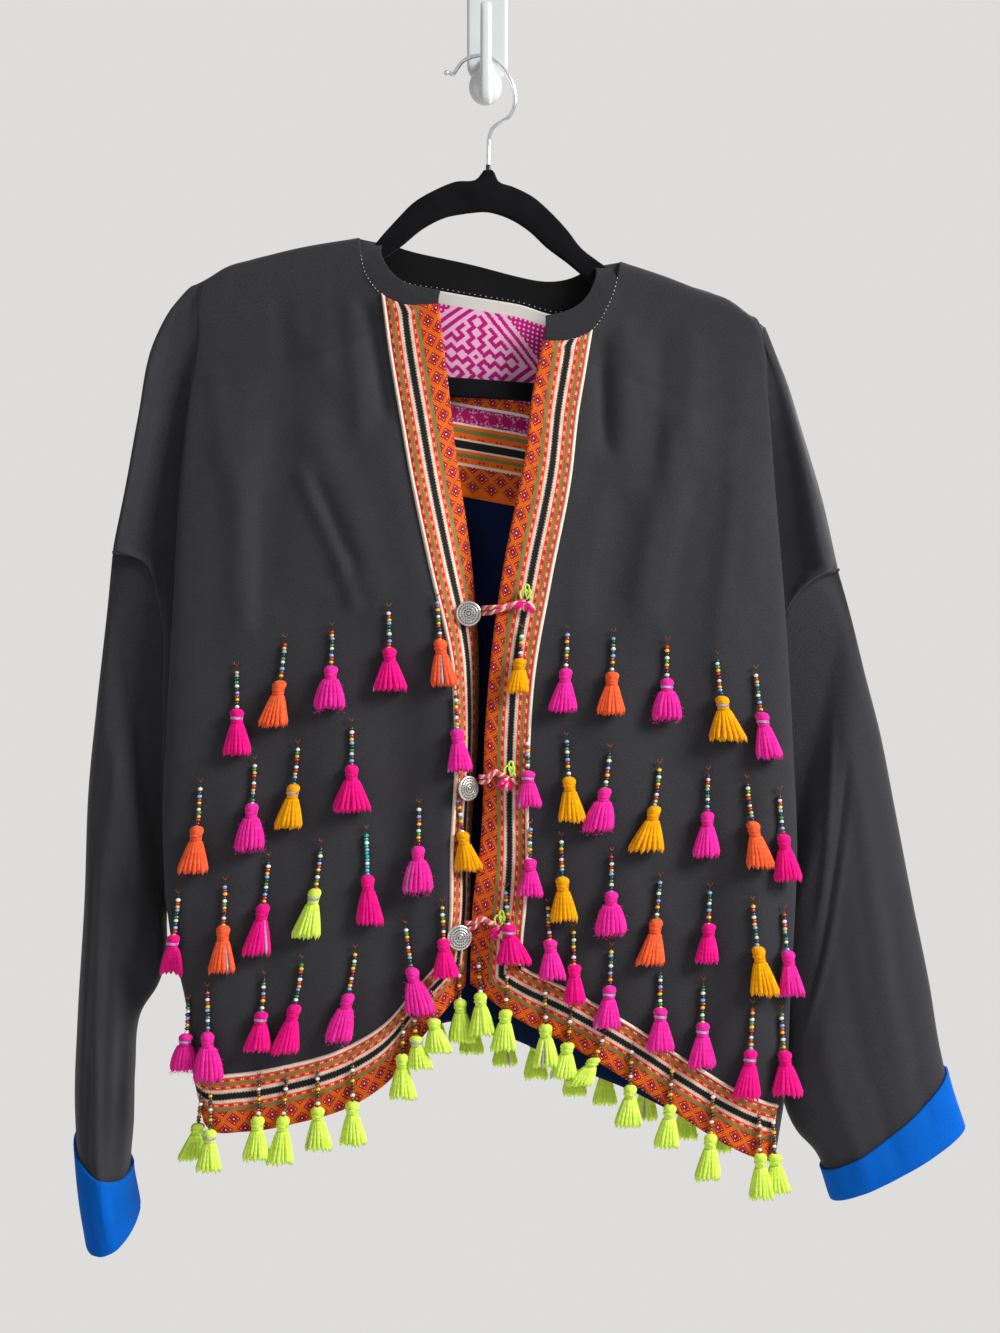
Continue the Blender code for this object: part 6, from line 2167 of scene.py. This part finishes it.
@dataclass
class TasselMaker:
    """Lays tassels on the cloth."""

    surfaces: Surfaces
    finishes: Finishes
    head: float = 4.9
    yarn: float = 1.6
    strands: int = 17
    inner_strands: int = 7
    string_share: float = 0.44
    skirt_share: float = 0.605
    beads: dict = field(default_factory=lambda: {
        Beads.MIXED: ("white", "black", "sky", "red", "yellow", "black", "white", "green",
                      "yellow", "red", "black", "white", "red", "yellow", "sky", "black",
                      "green"),
        Beads.TURQUOISE: ("turquoise", "turquoise", "white", "turquoise", "sky", "turquoise"),
        Beads.BRONZE: ("bronze", "bronze", "yellow", "bronze", "black", "bronze", "white"),
    })

    def axis(self, tassel: Tassel) -> list[Vector]:
        """Line of a tassel from its knot to the end of its skirt.

        Args:
            tassel: The tassel.

        Returns:
            Points at equal drops.
        """
        count = 24
        points = []
        last = None
        for index in range(count + 1):
            share = index / count
            x = tassel.x + tassel.sway * share ** 1.4
            z = tassel.z - tassel.drop * share
            half, room = 1.5, 2.3
            if share > 0.46:
                half, room = 4.0, self.head + 0.7
            if share > 0.66:
                half, room = 6.0, 6.6
            fallback = last if last is not None else tassel.facing * 3.0 - 20.0
            last = self.surfaces.clear(x, z, half, room, tassel.facing, fallback)
            points.append(Vector((x, last, z)))
        for _ in range(4):
            depths = [points[0].y]
            for before, here, after in zip(points, points[1:], points[2:]):
                mean = (before.y + here.y + after.y) / 3
                depths.append(outermost((mean, here.y), tassel.facing))
            depths.append(points[-1].y)
            for point, depth in zip(points, depths):
                point.y = depth
        return points

    @staticmethod
    def along(axis: Line, share: float) -> Vector:
        """Point at a share of the drop."""
        place = min(max(share, 0.0), 1.0) * (len(axis) - 1)
        index = min(int(place), len(axis) - 2)
        return blend(axis[index], axis[index + 1], place - index)

    def cleared(self, point: Vector, room: float, facing: int) -> Vector:
        """Point moved out of the cloth."""
        depth = self.surfaces.depth(point.x, point.z, facing)
        if depth is not None:
            point.y = outermost((point.y, depth + facing * room), facing)
        return point

    def build(self, tassel: Tassel) -> Item:
        """Make one tassel.

        Args:
            tassel: What it is like.

        Returns:
            Its object.
        """
        chance = random.Random(tassel.name)
        axis = self.axis(tassel)
        shape = bmesh.new()
        self.string(shape, axis, tassel, chance)
        self.knot(shape, axis, chance)
        self.tied_head(shape, axis, chance)
        self.skirt(shape, axis, tassel, chance)
        bmesh.ops.recalc_face_normals(shape, faces=shape.faces)
        colours = list(self.finishes.bead.values())
        finishes = [self.finishes.wool[tassel.yarn], self.finishes.lavender,
                    self.finishes.copper] + colours
        return new_piece(tassel.name, shape, finishes, tassel.nodes)

    def string(self, shape: Mesh, axis: Line, tassel: Tassel,
               chance: random.Random) -> None:
        """Beads on their thread."""
        names = list(self.finishes.bead)
        pattern = self.beads[tassel.beads]
        shift = chance.randrange(len(pattern))
        length = tassel.drop * self.string_share
        place = 1.6
        index = 0
        while place < length:
            radius = chance.uniform(1.6, 1.95)
            place += radius * 0.72
            centre = self.along(axis, (place + tassel.drop * 0.04) / tassel.drop)
            centre = centre + Vector((chance.uniform(-0.25, 0.25), 0, 0))
            bead = bmesh.ops.create_uvsphere(shape, u_segments=8, v_segments=5, radius=1.0)
            size = Vector((radius, radius, radius * 0.78)) * MM
            bmesh.ops.scale(shape, verts=bead["verts"], vec=size)
            move(shape, bead["verts"], centre)
            slot = 3 + names.index(pattern[(index + shift) % len(pattern)])
            for face in {face for vertex in bead["verts"] for face in vertex.link_faces}:
                face.material_index = slot
                face.smooth = True
            place += radius * 0.72
            index += 1
        thread = [self.along(axis, share) for share in steps(0.0, 0.5, 6)]
        tube(shape, thread, [0.4] * 7, 5, slot=2)

    def knot(self, shape: Mesh, axis: Line, chance: random.Random) -> None:
        """Copper knot with two curled ends."""
        top = axis[0]
        for side in (-1, 1):
            reach = chance.uniform(1.4, 2.8)
            points = [top + Vector((side * reach * math.sin(t * 2.6) * 0.7, -0.5,
                                    0.4 + reach * (1 - math.cos(t * 2.6)) * 0.5))
                      for t in steps(0.0, 1.0, 5)]
            tube(shape, points, [0.36] * 6, 5, slot=2)
        tube(shape, [top + Vector((-1.3, -0.3, 0.2)), top + Vector((0, -0.6, -0.1)),
                     top + Vector((1.3, -0.3, 0.2))], (0.6, 1.0, 0.6), 6, slot=2)

    def tied_head(self, shape: Mesh, axis: Line, chance: random.Random) -> None:
        """Ribbed head of folded wool, tied below."""
        turn = chance.uniform(0, 1)
        rings = []
        for share, radius in HEAD_ROWS:
            centre = self.along(axis, share)
            ring = []
            for step in range(HEAD_SIDES + 1):
                angle = math.tau * (step % HEAD_SIDES) / HEAD_SIDES
                rib = 1 + 0.09 * math.cos(9 * (angle + turn))
                ring.append(centre + Vector((math.cos(angle), math.sin(angle) * 0.92, 0))
                            * radius * rib)
            rings.append(ring)
        chart = Chart([[step * self.yarn for step in range(HEAD_SIDES + 1)]] * len(rings),
                      [[index * self.yarn] * (HEAD_SIDES + 1) for index in range(len(rings))])
        loft(shape, rings, chart, closed=True, tips=True)
        slot = chance.choice((0, 0, 0, 1))
        for level in (0.578, 0.59):
            centre = self.along(axis, level)
            loop = []
            for step in range(13):
                angle = math.tau * step / 12
                loop.append(centre + Vector((math.cos(angle) * 4.5, math.sin(angle) * 4.2,
                                             math.sin(angle * 2 + turn) * 0.25)))
            tube(shape, loop, [0.55] * 13, 5, slot=slot)

    def skirt(self, shape: Mesh, axis: Line, tassel: Tassel,
              chance: random.Random) -> None:
        """Wool yarns that fan out below the tie."""
        start = self.along(axis, self.skirt_share)
        end = axis[-1]
        odd = chance.randrange(self.strands) if chance.random() < 0.45 else -1
        turn = chance.uniform(0, math.tau)
        for index in range(self.strands + self.inner_strands):
            inner = index >= self.strands
            angle = turn + math.tau * index / (self.inner_strands if inner else self.strands)
            width = tassel.spread * (0.5 if inner else chance.uniform(0.9, 1.04))
            away = Vector((math.cos(angle), math.sin(angle) * 0.5, 0))
            length = chance.uniform(0.95, 1.04)
            wave = chance.uniform(-0.5, 0.5)
            points = []
            for t in steps(0.0, 1.0, 7):
                centre = blend(start, end, t * length)
                flare = math.sin(math.pi / 2 * t ** 0.8) ** 0.9 if tassel.fuzzy else t ** 0.85
                reach = 2.1 + (width - 2.1) * flare
                sway = Vector((math.sin(t * 4 + index) * wave * t, 0, 0))
                point = centre + away * reach + sway
                points.append(self.cleared(point, self.yarn + 0.3, tassel.facing))
            size = self.yarn * (0.6 if index == odd else chance.uniform(0.88, 1.12))
            radii = [size * share for share in (0.9, 1.0, 1.04, 1.07, 1.1, 1.1, 1.08, 0.85)]
            tube(shape, points, radii, 6, slot=1 if index == odd else 0)
            if tassel.fuzzy:
                self.hairs(shape, points, size, chance)

    @staticmethod
    def hairs(shape: Mesh, points: Line, size: float, chance: random.Random) -> None:
        """Fine stray fibres on a yarn."""
        for _ in range(9):
            base = points[chance.randrange(1, len(points))]
            angle = chance.uniform(0, math.tau)
            away = Vector((math.cos(angle), -abs(math.sin(angle)) * 0.6,
                           chance.uniform(-0.6, 0.5)))
            tip = base + away * (size + chance.uniform(1.4, 3.6))
            middle = blend(base, tip, 0.6) + Vector((0, 0, chance.uniform(-0.8, 0.8)))
            tube(shape, [base, middle, tip], (0.2, 0.17, 0.08), 3)


@dataclass
class Studio:
    """Camera, plain pale floor and soft light."""

    camera_place: tuple = (0.00975, -1.635, -0.4729)
    lens: float = 57.6
    floor: float = -1.35
    ambient: float = 0.36

    def build(self) -> None:
        """Set the studio up."""
        bpy.context.scene.view_settings.view_transform = "Standard"
        self.camera()
        self.background()
        self.lights()

    def camera(self) -> None:
        """Level camera in front of the jacket."""
        data = bpy.data.cameras.new("camera")
        data.lens = self.lens
        data.sensor_width = 36.0
        data.sensor_fit = "AUTO"
        item = bpy.data.objects.new("camera", data)
        item.location = self.camera_place
        item.rotation_euler = (math.pi / 2, 0.0, 0.0)
        bpy.context.scene.collection.objects.link(item)
        bpy.context.scene.camera = item

    def background(self) -> None:
        """Pale surroundings and a floor."""
        world = bpy.data.worlds.new("studio")
        world.use_nodes = True
        shader = world.node_tree.nodes["Background"]
        shader.inputs["Color"].default_value = shade("dedddb")
        graph = Graph(world.node_tree)
        rays = graph.node("ShaderNodeLightPath")
        seen = Val(graph.tree, rays.outputs["Is Camera Ray"])
        seen = seen.most(Val(graph.tree, rays.outputs["Is Glossy Ray"]))
        graph.link(seen * (1.0 - self.ambient) + self.ambient, shader.inputs["Strength"])
        bpy.context.scene.world = world
        shape = bmesh.new()
        bmesh.ops.create_grid(shape, x_segments=8, y_segments=8, size=1.2)
        bmesh.ops.translate(shape, verts=shape.verts, vec=(0, -0.4, self.floor))
        mesh = bpy.data.meshes.new("floor")
        shape.to_mesh(mesh)
        shape.free()
        material = bpy.data.materials.new("pale_floor")
        material.use_nodes = True
        shader = material.node_tree.nodes["Principled BSDF"]
        shader.inputs["Base Color"].default_value = shade("e4e4e3")
        shader.inputs["Roughness"].default_value = 0.9
        mesh.materials.append(material)
        item = bpy.data.objects.new("floor", mesh)
        bpy.context.scene.collection.objects.link(item)

    def lights(self) -> None:
        """Large soft lights from the upper right, the left and behind."""
        for name, place, power, size in (
                ("key", (2.2, -1.2, 0.9), 116.0, 1.2),
                ("fill", (-1.6, -1.8, -0.4), 6.0, 1.6),
                ("rear", (1.3, 1.5, 0.8), 46.0, 0.9)):
            data = bpy.data.lights.new(name, "AREA")
            data.energy = power
            data.size = size
            item = bpy.data.objects.new(name, data)
            item.location = place
            aim = Vector((0.0, 0.0, -0.45)) - Vector(place)
            item.rotation_euler = aim.to_track_quat("-Z", "Y").to_euler()
            bpy.context.scene.collection.objects.link(item)


HOT_PINK, PINK, CORAL, GOLDEN, NEON = Yarn
# Tassels on the fronts: number, x, z, sway, drop, yarn, spread
ROW_TASSELS = [
    (1, -186, -472, 2, 67, HOT_PINK, 10), (2, -150, -451, -9, 67, CORAL, 11),
    (3, -115, -442, -1, 63, PINK, 10), (4, -73, -428, 2, 64, HOT_PINK, 13),
    (5, -212, -558, -5, 68, CORAL, 11), (6, -172, -541, -3, 68, PINK, 10),
    (7, -140, -529, -7, 64, GOLDEN, 10), (8, -100, -513, 1, 68, HOT_PINK, 14),
    (9, -89, -592, 3, 72, HOT_PINK, 10), (20, -50, -573, -1, 67, PINK, 10),
    (35, -193, -630, -2, 69, CORAL, 10), (36, -161, -612, -9, 74, HOT_PINK, 10),
    (37, -122, -602, -11, 71, NEON, 10), (39, -206, -708, 1, 71, PINK, 10),
    (41, -136, -687, -14, 72, HOT_PINK, 10), (42, -97, -680, -13, 70, PINK, 9),
    (15, 60, -444, -4, 63, PINK, 10), (16, 94, -447, -3, 62, CORAL, 10),
    (25, 134, -453, -1, 60, PINK, 10), (26, 171, -463, 8, 66, GOLDEN, 14),
    (18, 59, -523, 4, 65, GOLDEN, 10), (19, 91, -532, -10, 63, PINK, 10),
    (28, 128, -544, -11, 66, GOLDEN, 13), (29, 164, -549, -2, 65, PINK, 10),
    (30, 193, -555, 9, 67, CORAL, 10), (23, 55, -597, 2, 64, GOLDEN, 10),
    (24, 92, -608, -1, 63, PINK, 10), (32, 128, -627, -8, 66, CORAL, 10),
    (54, 196, -644, 9, 72, GOLDEN, 11), (51, 160, -704, -2, 65, PINK, 10),
    (52, 196, -720, -5, 72, HOT_PINK, 10), (14, 26, -443, -4, 50, GOLDEN, 8),
    (27, 200, -474, 10, 68, PINK, 10), (31, 217, -564, 6, 68, HOT_PINK, 10),
    (33, 165, -635, -3, 57, HOT_PINK, 8), (34, -228, -640, -8, 64, HOT_PINK, 10),
    (38, -221, -718, -4, 55, PINK, 9), (40, -164, -699, -5, 58, HOT_PINK, 10),
    (43, -60, -662, 12, 68, PINK, 10), (44, -33, -646, 3, 57, HOT_PINK, 9),
    (45, 14, -635, 6, 58, HOT_PINK, 13), (47, 45, -646, 4, 58, PINK, 10),
    (48, 64, -664, 1, 58, HOT_PINK, 7), (49, 92, -678, -4, 62, PINK, 10),
    (50, 128, -694, 0, 63, PINK, 10), (53, 218, -725, 5, 66, HOT_PINK, 12),
    (55, 220, -651, 6, 66, PINK, 9),
]
CAD_TASSELS = 31        # the first rows, which stand for the CAD's tassels in order
FUZZY = {3, 6, 20, 39, 42, 25, 19, 24, 38, 43}      # those with brushed wool
TURQUOISE_TASSEL = 9    # the one with turquoise beads
# Tassels on the bands: number, side, x, z, sway, drop, yarn, spread
BAND_TASSELS = [
    (12, "right", -37, -420, 6, 68, CORAL, 10), (13, "right", -23, -490, 3, 61, PINK, 9),
    (21, "right", -21, -567, 8, 58, GOLDEN, 10), (17, "left", 30, -525, 1, 52, PINK, 9),
    (22, "left", 32, -588, 0, 55, PINK, 9),
]
# Tassels of the hem: number, side, x, z, sway, drop
HEM_TASSELS = [
    (1, "right", -211, -786, -9, 54), (2, "right", -204, -785, -1, 61),
    (3, "right", -168, -774, -2, 63), (4, "right", -148, -771, -5, 69),
    (5, "right", -125, -767, 1, 63), (6, "right", -99, -763, 0, 63),
    (7, "right", -62, -727, 0, 65), (8, "right", -54, -722, 5, 48),
    (9, "right", -42, -708, 7, 50), (10, "right", -21, -689, 3, 63),
    (11, "left", -6, -684, 3, 62), (12, "left", 15, -697, -3, 60),
    (13, "left", 43, -706, 1, 63), (14, "left", 62, -725, -6, 52),
    (15, "left", 87, -742, -20, 40), (16, "left", 107, -752, -3, 61),
    (17, "left", 137, -766, -5, 62), (18, "left", 167, -785, -5, 67),
    (19, "left", 201, -799, 2, 68), (20, "left", 212, -805, 3, 58),
]
# Tassels of the back's hem: x
BACK_TASSELS = [-185, -155, -125, -95, -65, -38, -12, 13, 37, 67, 90, 121, 151, 177]


def back_share(back: Back, x: float, v: float) -> float:
    """Share of the back's width at which a row reaches a place across.

    Args:
        back: The back.
        x: Place across.
        v: Share of the height of the row.

    Returns:
        The share.
    """
    low, high = 0.0, 1.0
    for _ in range(24):
        middle = (low + high) / 2
        if back.point(middle, v).x < x:
            low = middle
        else:
            high = middle
    return low


def hang_tassels(right: Surfaces, left: Surfaces, back: Surfaces, shape: Shape,
                 finishes: Finishes) -> None:
    """Make every tassel of the rows, bands and hems.

    Args:
        right: The wearer's right front.
        left: The left front.
        back: The back, for its hem.
        shape: The panels.
        finishes: The finishes.
    """
    makers = {"right": TasselMaker(right, finishes), "left": TasselMaker(left, finishes)}
    for node, (number, x, z, sway, drop, yarn, spread) in enumerate(ROW_TASSELS, 1):
        side = "right" if x < -20 else "left"
        nodes = (f"tassel_{node:02d}",) if node <= CAD_TASSELS else ()
        beads = Beads.TURQUOISE if number == TURQUOISE_TASSEL else Beads.MIXED
        makers[side].build(Tassel(f"wool_tassel_{number:02d}", x, z, sway, drop, yarn, beads,
                                  spread, nodes=nodes, fuzzy=number in FUZZY,
                                  slot="" if nodes else f"{side}_front_surface"))
    for number, side, x, z, sway, drop, yarn, spread in BAND_TASSELS:
        makers[side].build(Tassel(f"band_tassel_{number:02d}", x, z, sway, drop, yarn,
                                  Beads.MIXED, spread, slot=f"{side}_front_piping_surface"))
    for number, side, x, z, sway, drop in HEM_TASSELS:
        makers[side].build(Tassel(f"hem_tassel_{number:02d}", x, z, sway, drop, NEON,
                                  Beads.BRONZE, 9.5, slot=f"{side}_hem_piping_surface"))
    maker = TasselMaker(back, finishes)
    share = HEM_BAND_SHARE - 0.003
    for number, x in enumerate(BACK_TASSELS, 1):
        place = shape.back.point(back_share(shape.back, x, share), share)
        maker.build(Tassel(f"back_tassel_{number:02d}", x, place.z, 0.0, 62.0, NEON,
                           Beads.BRONZE, 9.0, facing=1, slot="back_hem_piping_surface"))


def main() -> None:
    """Build the jacket, what holds it and the studio, in order."""
    logging.basicConfig(level=logging.INFO, format="%(name)s %(message)s")
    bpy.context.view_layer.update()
    Studio().build()
    finishes = Finishes()
    shape = Shape()
    right = FrontPanel("right", shape.right, finishes)
    right.build()
    left = FrontPanel("left", shape.left, finishes)
    left.build()
    back = BackPanel(shape.back, finishes)
    back.build()
    for side, sleeve in shape.arms.items():
        Arm(side, sleeve, finishes).build()
    Collar(shape, finishes).build()
    Hanger(finishes).build()
    WallHook(finishes).build()
    right_surfaces = Surfaces(right.items)
    left_surfaces = Surfaces(left.items)
    for number, (button, loop) in enumerate(zip(BUTTONS, LOOPS), 1):
        Fastening(number, button, loop, left_surfaces, finishes).build()
    hang_tassels(right_surfaces, left_surfaces, Surfaces(back.items), shape, finishes)


if __name__ == "__main__":
    main()
